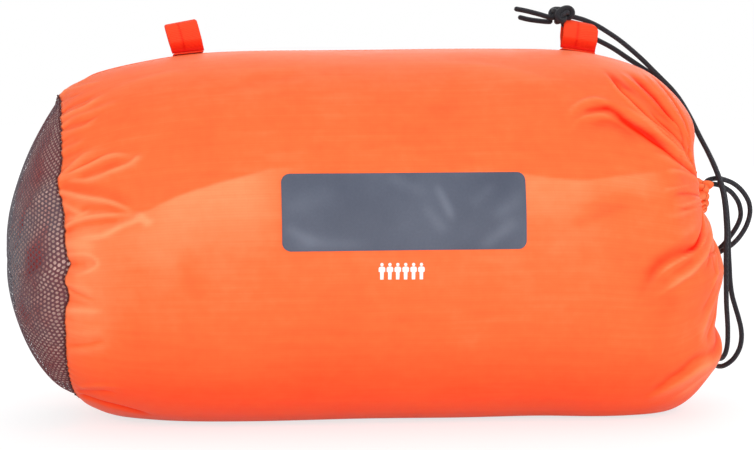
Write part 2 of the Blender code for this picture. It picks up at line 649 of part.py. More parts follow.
def main():
    clear_scene()
    orange = material("orange_nylon", ORANGE, 0.5)
    tape = material("orange_tape", ORANGE_RED, 0.7)
    black = material("black_cord", CORD_BLACK, 0.7)
    canopy = material("canopy_fabric", ORANGE_RED, 0.55)
    sack_body(orange)
    base_net_panel(material("grey_net", NET_GREY, 0.8))
    base_seam_binding(material("binding_tape", ORANGE_RED, 0.75))
    lengthwise_seam(material("seam_fabric", ORANGE, 0.55))
    print_patch(material("print_film", PRINT_GREY, 0.4))
    for name, x, rise, lean, corner in (
        ("base_end", BASE_LOOP_X, BASE_LOOP_RISE, BASE_LOOP_LEAN, BASE_LOOP_CORNER),
        ("mouth_end", MOUTH_LOOP_X, MOUTH_LOOP_RISE, MOUTH_LOOP_LEAN, MOUTH_LOOP_CORNER),
    ):
        stitch_tab(f"{name}_stitch_tab", x, tape)
        stack = SEAT_GAP + SEAM_WALL + SEAT_GAP + STITCH_TAB_WALL + SEAT_GAP + LOOP_FOOT_RADIUS
        placed = seam_frame(x, stack, upright=True)
        tape_loop(f"{name}_tape_loop", placed, rise, lean, corner, tape)
    drawcord_hem(material("hem_fabric", ORANGE, 0.55))
    drawcord(black)
    drawcord_knot(black)
    canopy_roll(canopy)
    packed_panels(
        material("seat_fabric", SEAT_GREY, 0.6),
        material("window_film", WINDOW_CLEAR, 0.2),
        canopy,
        material("reflective_tape", SILVER, 0.3),
    )


main()
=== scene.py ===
"""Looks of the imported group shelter: sack, net base, drawcord, tape loops, print and contents.

Metres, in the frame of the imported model. Every surface is a grid of points worked out with
numpy. A place on the sack is a station (0 at the base edge, 18 at the drawn neck) and an
angle round it (0 is the front, a quarter turn the top).
"""

from math import cos, pi, radians, sin, sqrt, tan

import bmesh
import bpy
import numpy as np
from mathutils import Matrix, Vector


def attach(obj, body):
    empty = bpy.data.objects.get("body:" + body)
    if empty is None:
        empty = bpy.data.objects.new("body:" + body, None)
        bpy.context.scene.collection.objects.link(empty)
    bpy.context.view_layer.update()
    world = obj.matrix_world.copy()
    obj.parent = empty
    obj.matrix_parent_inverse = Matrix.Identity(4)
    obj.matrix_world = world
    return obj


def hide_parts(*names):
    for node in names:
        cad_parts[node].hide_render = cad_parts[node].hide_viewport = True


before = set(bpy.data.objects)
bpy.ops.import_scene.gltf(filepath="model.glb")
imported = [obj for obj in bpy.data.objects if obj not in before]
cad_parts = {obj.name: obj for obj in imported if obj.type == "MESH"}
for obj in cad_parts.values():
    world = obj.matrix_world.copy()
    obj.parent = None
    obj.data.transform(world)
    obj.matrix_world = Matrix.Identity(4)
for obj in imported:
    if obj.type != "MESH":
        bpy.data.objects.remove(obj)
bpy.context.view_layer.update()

MM = 0.001
SACK, BASE_LOOP, MOUTH_LOOP = "stuff_sack", "base_end_loop", "mouth_end_loop"

# Size of the stuffed sack and its sections, the same as the solids'
BAG_LENGTH, BAG_HEIGHT, BAG_DEPTH = 350 * MM, 178 * MM, 194 * MM
BAG_MIDDLE = np.array([0, 0, BAG_HEIGHT / 2])
SECTION_POWER = 2.15
FLOOR_BLEND = 2.5 * MM
LAST_STATION = 18
SECTIONS = np.array([
    (-0.426, 0.876, -0.400, +0.056, -0.411, 0.381, +0.000),
    (-0.411, 0.899, -0.391, +0.039, -0.400, 0.407, +0.000),
    (-0.389, 0.921, -0.374, +0.022, -0.380, 0.433, +0.000),
    (-0.349, 0.951, -0.343, +0.006, -0.346, 0.459, +0.000),
    (-0.294, 0.975, -0.294, -0.008, -0.294, 0.479, +0.000),
    (-0.214, 0.994, -0.214, -0.020, -0.214, 0.492, +0.000),
    (-0.086, 1.000, -0.086, -0.022, -0.086, 0.500, +0.000),
    (+0.057, 1.000, +0.057, -0.022, +0.057, 0.500, +0.000),
    (+0.186, 1.003, +0.186, -0.022, +0.186, 0.500, +0.000),
    (+0.271, 1.000, +0.277, -0.028, +0.274, 0.495, +0.000),
    (+0.337, 0.980, +0.360, -0.034, +0.343, 0.479, +0.000),
    (+0.389, 0.941, +0.426, -0.011, +0.400, 0.443, -0.005),
    (+0.421, 0.893, +0.467, +0.039, +0.434, 0.392, -0.010),
    (+0.443, 0.834, +0.490, +0.112, +0.454, 0.330, -0.021),
    (+0.451, 0.775, +0.500, +0.197, +0.467, 0.263, -0.031),
    (+0.450, 0.730, +0.498, +0.298, +0.473, 0.196, -0.041),
    (+0.454, 0.691, +0.495, +0.399, +0.478, 0.134, -0.046),
    (+0.461, 0.657, +0.479, +0.478, +0.471, 0.080, -0.052),
    (+0.471, 0.633, +0.473, +0.543, +0.472, 0.043, -0.052),
])
BASE_BULGE = np.array([-0.497 * BAG_LENGTH, 0, 0.438 * BAG_HEIGHT])

# The picture in pixels, and the parts of it that fold points were picked in: left and top edge
# of the part, and how many times it is enlarged
PICTURE_WIDTH, PICTURE_HEIGHT = 754, 450
WHOLE_PICTURE, MOUTH_PART = (0, 0, 1), (560, 40, 5.343)
SHOULDER_PART, CORNER_PART = (560, 70, 7), (632, 200, 9)

# Folds of the sack: height and width to the left and right of the fold in mm, how light or
# deep the cloth looks there, a part of the picture, and points picked along the fold
# In this list and the fold lists below, the tone column is painted light (above nought) and painted
# shade (below nought): lighter ridges, deeper valleys.
PUCKERS = [
    (0.6, 1.2, 2.2, 0.5, WHOLE_PICTURE, ((66, 92), (80, 87), (104, 82))),
    (-0.5, 1, 1, -0.3, WHOLE_PICTURE, ((60, 101), (70, 97), (84, 92))),
    (-0.5, 1.2, 1.2, -0.35, WHOLE_PICTURE, ((64, 111), (84, 101), (98, 92))),
    (0.9, 1, 1.8, 0.9, WHOLE_PICTURE, ((62, 118), (80, 110), (96, 100), (106, 93))),
    (0.5, 1.2, 2, 0.4, WHOLE_PICTURE, ((64, 124), (88, 113), (112, 104), (124, 102))),
    (-0.5, 1, 1.4, -0.3, WHOLE_PICTURE, ((64, 128), (84, 121), (104, 112))),
    (0.6, 1, 1.8, 0.5, WHOLE_PICTURE, ((62, 134), (80, 129), (94, 120), (99, 112))),
    (0.4, 1.2, 1.6, 0.3, WHOLE_PICTURE, ((64, 150), (78, 144), (88, 137))),
    (-0.4, 1, 1, -0.25, WHOLE_PICTURE, ((62, 158), (74, 153), (88, 146))),
    (0.7, 1, 1.6, 0.6, WHOLE_PICTURE, ((62, 174), (72, 166), (84, 156), (98, 149))),
    (-0.7, 1, 1, -0.4, WHOLE_PICTURE, ((64, 177), (80, 167), (96, 158), (110, 152))),
    (1.1, 1, 1.3, 0.9, WHOLE_PICTURE, ((62, 178), (86, 167), (104, 158), (118, 154.5),
        (130, 156), (137, 159))),
    (-0.9, 1.5, 1.5, -0.4, WHOLE_PICTURE, ((84, 174), (100, 167), (114, 162), (126, 160))),
    (1.1, 1.2, 1.2, 0.9, WHOLE_PICTURE, ((137, 159), (128, 165), (112, 172), (96, 178),
        (80, 181), (62, 179))),
    (-1.2, 2.8, 1.4, -0.45, WHOLE_PICTURE, ((62, 187), (84, 189), (104, 193), (124, 202),
        (138, 213))),
    (1.2, 0.9, 1.6, 0.9, WHOLE_PICTURE, ((62, 191), (84, 197), (104, 200), (120, 205),
        (134, 212), (141, 217))),
    (0.7, 0.9, 1.2, 0.7, WHOLE_PICTURE, ((65, 204), (76, 211), (85, 213))),
    (0.6, 0.9, 1, 0.6, WHOLE_PICTURE, ((85, 213), (75, 218), (66, 219))),
    (-0.9, 1.3, 1.5, -0.5, WHOLE_PICTURE, ((84, 208), (102, 207), (118, 210), (130, 213))),
    (0.9, 0.9, 1, 0.8, WHOLE_PICTURE, ((68, 225), (86, 218), (104, 215.5), (124, 214),
        (138, 217))),
    (-0.9, 0.9, 1.6, -0.5, WHOLE_PICTURE, ((68, 229), (84, 223), (100, 221), (118, 221),
        (132, 219))),
    (1.2, 1.2, 1.8, 0.9, WHOLE_PICTURE, ((140, 219), (132, 223), (120, 228), (108, 234),
        (94, 238), (70, 237))),
    (0.9, 2, 2, 0.9, WHOLE_PICTURE, ((141, 218), (147, 222), (151, 227))),
    (0.6, 2, 3, 0.6, WHOLE_PICTURE, ((66, 243), (84, 244), (98, 247))),
    (0.8, 0.9, 1.1, 0.6, WHOLE_PICTURE, ((68, 254), (84, 254), (94, 257), (98, 264), (92, 270),
        (80, 275), (68, 276))),
    (-0.7, 1.5, 1.5, -0.4, WHOLE_PICTURE, ((70, 264), (80, 264), (88, 264))),
    (0.5, 1.2, 1.6, 0.35, WHOLE_PICTURE, ((68, 284), (82, 288), (98, 292))),
    (-0.5, 0.7, 0.7, -0.5, WHOLE_PICTURE, ((72, 291), (86, 297), (96, 302))),
    (-0.4, 0.8, 1, -0.3, WHOLE_PICTURE, ((68, 300), (80, 303), (92, 306))),
    (0.7, 1.3, 1.8, 0.7, WHOLE_PICTURE, ((68, 311), (84, 310), (106, 312))),
    (0.5, 2, 2, 0.3, WHOLE_PICTURE, ((70, 333), (90, 333), (108, 329))),
    (-0.5, 0.8, 0.9, -0.4, WHOLE_PICTURE, ((70, 346), (90, 344), (108, 340))),
    (0.5, 2, 2, 0.3, WHOLE_PICTURE, ((70, 352), (92, 350), (112, 345))),
    (0.5, 1, 1.4, 0.35, WHOLE_PICTURE, ((82, 386), (104, 385), (126, 388))),
    (-0.6, 1, 1.6, -0.4, WHOLE_PICTURE, ((80, 391), (104, 391), (120, 394))),
    (-1.6, 1.2, 2.6, -1.2, WHOLE_PICTURE, ((86, 397), (110, 404), (134, 411), (156, 416))),
]
# Broad panels of painted light and painted shade: lighter bands across the body and darker shaded
# zones over the shoulder and the mouth end.
PANELS = [
    (0.6, 1.4, 30, 0.85, WHOLE_PICTURE, ((120, 220), (146, 213), (180, 198), (214, 187),
        (246, 178), (276, 171), (300, 170))),
    (0.5, 1.4, 24, 0.55, WHOLE_PICTURE, ((480, 172), (524, 176), (560, 181), (588, 182),
        (616, 178.5))),
    (0.5, 1.4, 12, 0.42, WHOLE_PICTURE, ((588, 182), (616, 178.5), (644, 175), (665, 172))),
    (-0.3, 4, 5, -0.18, WHOLE_PICTURE, ((186, 246), (189, 275), (199, 306))),
    (0.2, 6, 6, 0.1, WHOLE_PICTURE, ((216, 258), (224, 280), (236, 302))),
    (-0.5, 9, 3, -0.3, WHOLE_PICTURE, ((560, 229), (585, 219), (612, 210), (648, 204))),
    (-0.4, 8, 8, -0.15, WHOLE_PICTURE, ((420, 118), (448, 100), (480, 80))),
    (0.3, 10, 12, 0.08, WHOLE_PICTURE, ((428, 300), (455, 325), (480, 355))),
    (0.3, 3, 6, 0.2, WHOLE_PICTURE, ((96, 100), (130, 84), (165, 74), (200, 68))),
    (-0.3, 6, 4, -0.15, WHOLE_PICTURE, ((200, 100), (260, 80), (330, 74))),
    (0.3, 3, 9, 0.18, WHOLE_PICTURE, ((420, 62), (480, 66), (540, 78), (580, 92))),
    (0, 20, 15, 0.52, WHOLE_PICTURE, ((80, 165), (82, 190), (84, 215), (86, 250), (86, 300),
        (86, 345), (92, 378))),
    (0.2, 12, 12, 0.18, WHOLE_PICTURE, ((118, 235), (150, 250), (190, 262))),
    (0, 6, 14, -0.3, WHOLE_PICTURE, ((640, 260), (655, 275), (668, 300), (676, 330))),
    (0.2, 6, 6, 0.25, WHOLE_PICTURE, ((700, 318), (704, 332), (700, 346))),
    (0, 9, 12, 0.45, WHOLE_PICTURE, ((668, 398), (690, 382), (706, 362), (714, 340))),
    (-2.1, 1.7, 4.2, -1.5, SHOULDER_PART, ((285, 236), (345, 256), (400, 286), (460, 334),
        (540, 388), (630, 440), (720, 500), (800, 566))),
    (-1, 1.6, 2.6, -0.9, SHOULDER_PART, ((140, 310), (200, 274), (290, 254), (360, 250),
        (430, 300))),
    (1, 1.4, 1.3, 0.42, SHOULDER_PART, ((50, 350), (85, 275), (150, 228), (230, 206),
        (310, 213), (400, 245))),
    (0.5, 1, 1.2, 0.38, SHOULDER_PART, ((80, 420), (130, 350), (200, 320), (280, 309),
        (350, 327), (430, 375))),
    (-0.8, 1.8, 4.6, -0.6, SHOULDER_PART, ((170, 390), (260, 362), (340, 352), (420, 388),
        (500, 442), (590, 482))),
    (0, 2.6, 2.8, -0.9, SHOULDER_PART, ((330, 5), (400, 70), (470, 130), (550, 190))),
    (-0.5, 7, 7, -0.55, SHOULDER_PART, ((430, 30), (540, 120), (650, 225), (760, 345),
        (850, 470))),
    (0, 14, 5, -0.7, SHOULDER_PART, ((470, -40), (620, 10), (760, 110), (860, 220), (915, 340))),
    (-1.9, 4.6, 2, -0.85, CORNER_PART, ((120, 800), (155, 715), (200, 640), (260, 575),
        (340, 522), (430, 485), (520, 450), (610, 395))),
    (-0.7, 1.4, 1.8, -0.45, CORNER_PART, ((300, 725), (380, 662), (470, 600), (550, 540),
        (610, 480))),
    (0.7, 3.2, 1.8, 0.3, CORNER_PART, ((380, 390), (460, 320), (540, 250), (600, 195))),
]
SHOULDER_FOLDS = [
    (-1.9, 1, 1.9, -1.2, SHOULDER_PART, ((420, 290), (500, 345), (600, 420), (700, 505),
        (800, 590), (880, 665), (950, 735))),
    (1.7, 1.5, 1, 0.6, SHOULDER_PART, ((385, 232), (480, 286), (560, 336), (640, 398),
        (720, 468), (800, 538), (865, 612), (915, 680))),
    (1.2, 1.2, 0.8, 0.55, SHOULDER_PART, ((285, 0), (340, 62), (400, 147), (470, 217),
        (540, 287), (610, 352), (690, 412), (760, 470))),
    (-1.4, 0.8, 1, -1, SHOULDER_PART, ((310, 0), (362, 60), (427, 140), (492, 200), (562, 265),
        (622, 325), (700, 396))),
    (1.2, 1.1, 1, 0.5, SHOULDER_PART, ((400, 0), (490, 80), (570, 155), (640, 225), (700, 285),
        (770, 350), (830, 420))),
    (-2, 2.6, 2.4, -1.5, SHOULDER_PART, ((445, 0), (540, 62), (620, 130), (690, 200),
        (750, 280), (805, 355))),
    (-1.4, 0.8, 0.8, -1.1, SHOULDER_PART, ((610, 245), (655, 310), (727, 375), (790, 435),
        (845, 495), (890, 560), (925, 640))),
    (0.9, 0.9, 0.8, 0.5, SHOULDER_PART, ((590, 285), (655, 358), (725, 422), (795, 492),
        (855, 562), (905, 640))),
    (1.1, 1, 1, 0.4, SHOULDER_PART, ((560, 0), (650, 95), (720, 175), (780, 255), (830, 330),
        (870, 410), (900, 500))),
    (-1.6, 1.2, 1.4, -1.15, SHOULDER_PART, ((605, 15), (690, 80), (770, 170), (830, 260),
        (880, 360), (908, 460))),
    (0.6, 1, 2.6, 0.3, SHOULDER_PART, ((600, 560), (720, 602), (830, 662), (925, 727))),
    (1.1, 0.9, 1.5, 0.55, MOUTH_PART, ((540, 700), (620, 700), (690, 722), (742, 742))),
    (0.6, 1, 1, 0.4, MOUTH_PART, ((540, 800), (630, 788), (720, 795))),
    (-0.9, 0.8, 0.9, -0.8, MOUTH_PART, ((588, 855), (640, 822), (700, 818), (745, 832))),
    (0.7, 0.9, 1, 0.5, MOUTH_PART, ((588, 872), (660, 880), (738, 858))),
    (-0.7, 0.7, 0.8, -0.6, MOUTH_PART, ((630, 905), (690, 902), (745, 888))),
    (0.7, 1.2, 1.4, 0.45, MOUTH_PART, ((540, 935), (640, 930), (708, 902), (745, 885))),
    (-2.4, 1.9, 0.9, -1.6, CORNER_PART, ((470, 480), (540, 462), (595, 425), (630, 350),
        (648, 260), (640, 178))),
    (1.1, 0.8, 1.2, 0.65, CORNER_PART, ((190, 770), (235, 690), (290, 625), (350, 582),
        (440, 535), (520, 492), (590, 445), (640, 375))),
    (1.6, 1.7, 1.4, 0.75, CORNER_PART, ((130, 910), (250, 840), (370, 762), (440, 712),
        (530, 650), (600, 580), (650, 500), (685, 410), (690, 320))),
    (-0.9, 0.8, 0.9, -0.6, CORNER_PART, ((620, 670), (690, 560), (720, 480), (728, 400))),
    (0.7, 1, 1.2, 0.35, CORNER_PART, ((720, 720), (775, 620), (785, 520), (765, 430))),
    (0.8, 1.6, 1.2, 0.4, MOUTH_PART, ((790, 1370), (822, 1290), (838, 1200), (828, 1100))),
    (-0.6, 1.8, 1.8, -0.35, MOUTH_PART, ((745, 1460), (800, 1380), (830, 1290))),
    (0.7, 2.8, 2.8, 0.35, MOUTH_PART, ((748, 1640), (758, 1560), (790, 1470), (822, 1380))),
    (-0.6, 2.2, 1.8, -0.35, MOUTH_PART, ((780, 1620), (800, 1560), (822, 1480))),
]
LOW_FOLDS = [
    (1.4, 1.6, 6.5, 0.7, MOUTH_PART, ((430, 1945), (520, 1890), (650, 1812), (760, 1738),
        (850, 1648))),
    (-1, 3.2, 1.4, -0.5, MOUTH_PART, ((420, 1920), (520, 1865), (640, 1785), (750, 1695),
        (845, 1600))),
    (0, 3, 10, 0.65, MOUTH_PART, ((560, 1940), (680, 1870), (780, 1790), (850, 1700))),
]
# Height in mm, and the painted tone there: painted shade below nought, deeper towards the floor, and
# painted light above nought at the top rim
PAINTED_LIGHT_AND_SHADE_BY_HEIGHT = [
    (0, -0.34), (8, -0.38), (20, -0.44), (32, -0.28), (45, -0.12), (60, -0.05), (80, 0.0),
    (110, -0.02), (140, -0.04), (152, 0.0), (162, 0.08), (171, 0.18), (178, 0.24),
]
# Angle of the base edge, and how far it stands out there in mm
EDGE_PULL = [
    (-150, 0.5), (-120, -0.6), (-100, -2.0), (-88, -2.6), (-78, -1.0), (-70, 0.8), (-57, 3.1),
    (-41, 4.6), (-29, 4.4), (-19, 4.0), (-14, 2.6), (-10.5, 1.6), (-8, 2.2), (-5, 2.9), (-2, 1.0),
    (1, 0.6), (8, 1.4), (17, 1.1), (23.5, 2.3), (26.5, 3.1), (29, 2.8), (31, 1.6), (33, 0.7),
    (42, -0.2), (58, -1.1), (77, -1.5), (92, -0.9), (120, 0.3), (180, 0.9), (209, 0.5),
]
# Height of the mouth end in mm, and how far it is pulled in there in mm
MOUTH_PULL = [
    (4, 2.6), (13, 3.2), (19, 2.6), (25, 1.2), (31, 1.5), (38, 3.8), (44, 5.8), (50, 5.7),
    (56, 5.6), (61, 5.0), (67, 3.0), (72, 2.2), (78, 3.4), (84, 4.6), (90, 5.6), (96, 6.6),
    (102, 7.0), (108, 6.8), (114, 6.6), (119, 6.0), (125, 5.6), (131, 4.2), (137, 1.6), (143, 0.1),
    (150, 0),
]
PUCKER_HEIGHTS, PUCKER_WIDTHS, PUCKER_TONES = 1.15, 1.25, 0.8
LAST_FOLD_STATION = 15.5
PICKING_ROWS, PICKING_ANGLES = 901, (-100, 112, 849)
FOLD_SPACING = 0.6 * MM
FOLD_REACH = 3.2
MOUTH_FADE = 13 * MM
HIDDEN_SEED = 11
HIDDEN_PUCKERS, HIDDEN_LONG_FOLDS = (84, 268, 22), (104, 262, 11)
PLEATS = 15
PLEAT_DEPTH = 2.1 * MM

# The camera: where it looks, how far to the side and above it stands, and its lens in mm
CAMERA_TARGET = np.array([5.6, 0, 91.5]) * MM
CAMERA_SIDE, CAMERA_ABOVE = radians(-7), radians(5)
CAMERA_BACK = np.array([
    sin(CAMERA_SIDE) * cos(CAMERA_ABOVE), -cos(CAMERA_SIDE) * cos(CAMERA_ABOVE), sin(CAMERA_ABOVE),
])
LENS, SENSOR_WIDTH = 120, 36
CAMERA_DISTANCE = 1.2315
# Where the fold points are picked from: as far off as makes one pixel this wide on the sack,
# which the camera's own distance rounds
PIXEL_SIZE = 0.49 * MM
PICKED_FROM = CAMERA_TARGET + LENS / SENSOR_WIDTH * PICTURE_WIDTH * PIXEL_SIZE * CAMERA_BACK

# Routes of the two cord ends, in millimetres, as the solids have them
FRONT_STRAND = [
    (167.9, -8.9, 111.5), (169.4, -7.2, 112.5), (171.8, -5.7, 113.1), (174.9, -4.2, 113.3),
    (178.8, -2.2, 112.6), (184.6, 0.3, 110.3), (189.6, 2.8, 106.5), (193.3, 4.8, 101.6),
    (194.7, 6, 97.2), (194.6, 6.8, 92.9), (192.9, 7, 87.9), (189.7, 7, 82.9),
    (186, 7.2, 79.1), (182.8, 8.4, 76.8), (179.9, 11.2, 74.3), (177.9, 15, 70.1),
    (177, 18.3, 64.7), (176.9, 20.5, 57.3), (177.1, 21, 48.6), (177.7, 20, 39),
    (178.3, 17, 30.7), (178.6, 11.8, 25), (178.7, 5.2, 22.3), (179.1, -1.2, 22.9),
    (179.7, -6, 26), (180, -8.7, 31), (179.8, -10, 37.7), (179.3, -10.6, 44.3),
    (178.7, -11, 50.8), (178.4, -11.2, 58.3), (178.2, -11.4, 65.8), (178, -11.7, 73.3),
    (177.9, -12.1, 80.8), (177.9, -12.5, 87.3), (177.4, -12.8, 94.2), (176.8, -12.9, 100.3),
    (175.7, -12.7, 107.1), (174, -11.4, 113.7), (172.2, -7.4, 120.5), (170.3, -1.5, 127.2),
    (167.9, 4.5, 134), (164.7, 9.8, 142.6), (160.5, 13, 150.8), (156.2, 14.5, 156.7),
    (151.7, 15, 161.3), (146.6, 15.2, 166.3), (141.4, 15.4, 171.4), (135.9, 15.8, 176.3),
    (129.9, 16.5, 181.2), (124.4, 17.3, 185), (118.5, 18, 188.6), (112.3, 17.9, 191.3),
    (107.7, 16.6, 192.6), (103.6, 15, 193.5),
]
BACK_STRAND = [
    (168.1, -4.1, 108.1), (169.9, -4.1, 109.8), (172.6, -3.5, 110.4), (176.4, -1.8, 109.8),
    (180.3, 0.6, 108.1), (184.6, 3.2, 105.4), (188.5, 6, 100.9), (190.3, 7.8, 96.4),
    (190.7, 9.2, 92.8), (189.7, 10.2, 89), (187.7, 10.8, 85.3), (185.3, 11.4, 81.8),
    (182.9, 12.8, 78.4), (180.3, 15.5, 74.9), (178, 19.6, 70.2), (176.6, 22.8, 64),
    (176.1, 24.6, 55.9), (176.4, 25.2, 47.1), (177.1, 24.6, 37.4), (178, 21.5, 27.5),
    (178.3, 15.5, 20.9), (179, 9, 18), (180, 3, 18.2), (181.7, -1.4, 19.8),
    (184, -4.2, 22.5), (185.8, -5.8, 25.8), (187.1, -6.8, 29.6), (187.6, -7.2, 34.2),
    (187.1, -7.4, 39), (185.7, -7.6, 44.3), (183.9, -7.8, 49.9), (182.3, -7.9, 55.4),
    (181.2, -8.1, 62.4), (180.6, -8.5, 70), (180, -9, 77), (179.7, -9.4, 85),
    (179.1, -9.7, 92.5), (178.3, -9.8, 99.9), (177.1, -9.6, 106.9), (175.3, -8.3, 113.2),
    (173.4, -4.3, 119.9), (171.4, 1.5, 126.5), (168.9, 7.5, 133.5), (165.6, 12.8, 142),
    (161.4, 16, 149.9), (156.8, 17.6, 155.4), (151.8, 18.1, 160.1), (146.2, 17.8, 164.4),
    (140.3, 17, 168.3), (133.4, 15.8, 172.7), (126, 14.8, 177.4), (119.2, 14.2, 180.9),
    (113.1, 14, 183.7), (107, 14, 186.3), (101.2, 13.9, 188.7),
]
FRONT_TAIL = [(94.2, 11.9, 192.6), (87.2, 11.2, 194.5), (81.1, 10.6, 196), (75.2, 10, 197.1)]
BACK_TAIL = [(93.6, 14.8, 190.6), (88.4, 14.5, 191), (82.7, 14, 191.8), (77.8, 13.6, 193)]
KNOT_CENTRE = np.array([98.7, 13.8, 193.7]) * MM
CORD_DIAMETER = 2.5 * MM
CORD_STEP = 0.55 * MM
CORD_SIDES = 20
FRONT_LENGTH = 0.42
BACK_LENGTH = 0.41
STRANDS_APART = 1.35
HEM_CENTRE = np.array([166.2, -10, 104.8]) * MM
HEM_RADIUS = 6 * MM
CORD_FROM, CORD_TO = radians(100), radians(365)
CORD_SHOWS = radians(10)

# Lengthwise seam, tape loops and print, the same places as the solids'
SEAM_ANGLE = radians(97.3)
SEAM_WIDTH = 9 * MM
SEAM_FROM_X, SEAM_TO_X = -136 * MM, 134 * MM
SEAM_PITCH, SEAM_ROW_AT, SEAM_ROW_FROM_END = 2.9 * MM, 0.7, 8 * MM
TAPE_WIDTH, TAPE_WALL = 16 * MM, 1.0 * MM
LOOP_HALF_GAP = 3.3 * MM
LOOP_FLARE = 5 * MM
LOOP_FOOT_RADIUS = 1.1 * MM
STITCH_TAB_DEPTH = 9 * MM
TAB_PITCH = 2.1 * MM
TAB_LIFT = 1.6 * MM
LOOP_LIFT = 2.2 * MM + LOOP_FOOT_RADIUS
PRINT_WIDTH, PRINT_HEIGHT, PRINT_CORNER = 109.5 * MM, 34.5 * MM, 4 * MM
PRINT_CENTRE_X, PRINT_CENTRE_Z = 7 * MM, 105.7 * MM

# Colours as linear red, green and blue
ORANGE = (0.965, 0.150, 0.042)
# Paler and deeper copies of the orange: painted light on ridges and high up, painted shade in valleys
# and low down; the deeper one also colours the ripstop lines
ORANGE_PALE_AND_PAINTED_LIGHT = (0.975, 0.290, 0.125)
ORANGE_DEEP_AND_PAINTED_SHADE = (0.93, 0.018, 0.003)
TAPE_RED = (0.97, 0.070, 0.019)
TAPE_DEEP_AND_PAINTED_SHADE = (0.72, 0.009, 0.003)
CANOPY_PAINTED_SHADE = (0.62, 0.070, 0.070)
CANOPY_PAINTED_LIGHT = (1.0, 0.70, 0.62)
CORD_BLACK = (0.011, 0.011, 0.015)
CORD_FLECK = (0.034, 0.034, 0.044)
PRINT_GREY = (0.063, 0.073, 0.105)
WHITE_INK = (0.90, 0.86, 0.84)
SEAT_GREY = (0.085, 0.088, 0.095)
SILVER = (0.62, 0.63, 0.64)


# Finishes

class Wire:
    """A socket of a finish, used in sums and products as if it were a number."""

    def __init__(self, finish, socket):
        self.finish, self.socket = finish, socket

    def maths(self, operation, *others):
        settings = {"operation": operation}
        inputs = dict(enumerate((self, *others)))
        return self.finish.node("ShaderNodeMath", settings, inputs)

    def __add__(self, other):
        return self.maths("ADD", other)

    __radd__ = __add__

    def __mul__(self, other):
        return self.maths("MULTIPLY", other)

    __rmul__ = __mul__

    def __sub__(self, other):
        return self.maths("SUBTRACT", other)

    def __rsub__(self, other):
        return self * -1 + other

    def __neg__(self):
        return self * -1

    def __truediv__(self, other):
        return self.maths("DIVIDE", other)

    def sine(self):
        return self.maths("SINE")

    def size(self):
        return self.maths("ABSOLUTE")

    def most(self, other):
        return self.maths("MAXIMUM", other)

    def between(self, low, high):
        """0 at low and 1 at high, held to that range, with a soft turn at both."""
        settings = {"interpolation_type": "SMOOTHSTEP"}
        inputs = {"Value": self, "From Min": low, "From Max": high}
        return self.finish.node("ShaderNodeMapRange", settings, inputs)


class Nodes:
    """A node tree, whose new nodes come back as wires."""

    def __init__(self, tree):
        self.tree = tree

    def node(self, kind, settings=None, inputs=None, out=0):
        """A node of this type, with its settings and then the values or wires of its sockets."""
        made = self.tree.nodes.new(kind)
        for name, value in (settings or {}).items():
            setattr(made, name, value)
        for name, value in (inputs or {}).items():
            self.feed(made.inputs[name], value)
        return Wire(self, made.outputs[out])

    def feed(self, socket, value):
        if isinstance(value, Wire):
            self.tree.links.new(value.socket, socket)
        elif hasattr(value, "__len__") and len(value) == 3 and len(socket.default_value) == 4:
            socket.default_value = (*value, 1)
        else:
            socket.default_value = value


class Finish(Nodes):
    """One material, built from expressions on its wires."""

    def __init__(self, name):
        self.material = bpy.data.materials.new(name)
        self.material.use_nodes = True
        super().__init__(self.material.node_tree)
        self.shader = self.tree.nodes["Principled BSDF"]

    def place(self):
        return self.node("ShaderNodeTexCoord", out="Object")

    def along(self):
        """The piece's own pattern map in metres, and its two parts."""
        spot = self.node("ShaderNodeUVMap")
        apart = self.node("ShaderNodeSeparateXYZ", inputs={0: spot})
        return spot, apart, Wire(self, apart.socket.node.outputs[1])

    def value(self, name):
        return self.node("ShaderNodeAttribute", {"attribute_name": name}, out="Fac")

    def noise(self, spot, scale, detail=3.0, stretch=None):
        if stretch:
            spot = self.node("ShaderNodeMapping", inputs={0: spot, "Scale": stretch})
        inputs = {"Vector": spot, "Scale": scale, "Detail": detail}
        return self.node("ShaderNodeTexNoise", inputs=inputs)

    def blend(self, share, first, second):
        settings = {"data_type": "RGBA", "clamp_factor": True}
        return self.node("ShaderNodeMix", settings, {0: share, 6: first, 7: second}, out=2)

    def relief(self, height, depth, strength=1.0, below=None):
        inputs = {"Height": height, "Distance": depth, "Strength": strength}
        if below:
            inputs["Normal"] = below
        return self.node("ShaderNodeBump", inputs=inputs)

    def paint(self, **sockets):
        names = {"colour": "Base Color", "rough": "Roughness", "normal": "Normal",
                 "gloss": "Specular IOR Level", "sheen": "Sheen Weight", "metal": "Metallic",
                 "coat": "Coat Weight", "fuzz": "Sheen Roughness", "see": "Alpha",
                 "glow": "Subsurface Weight"}
        for name, value in sockets.items():
            self.feed(self.shader.inputs[names[name]], value)
        return self.material


def weave(across, along, period):
    """Threads over and under each other: a product of two waves, one turn per two threads."""
    turn = pi / period
    return (across * turn).sine() * (along * turn).sine()


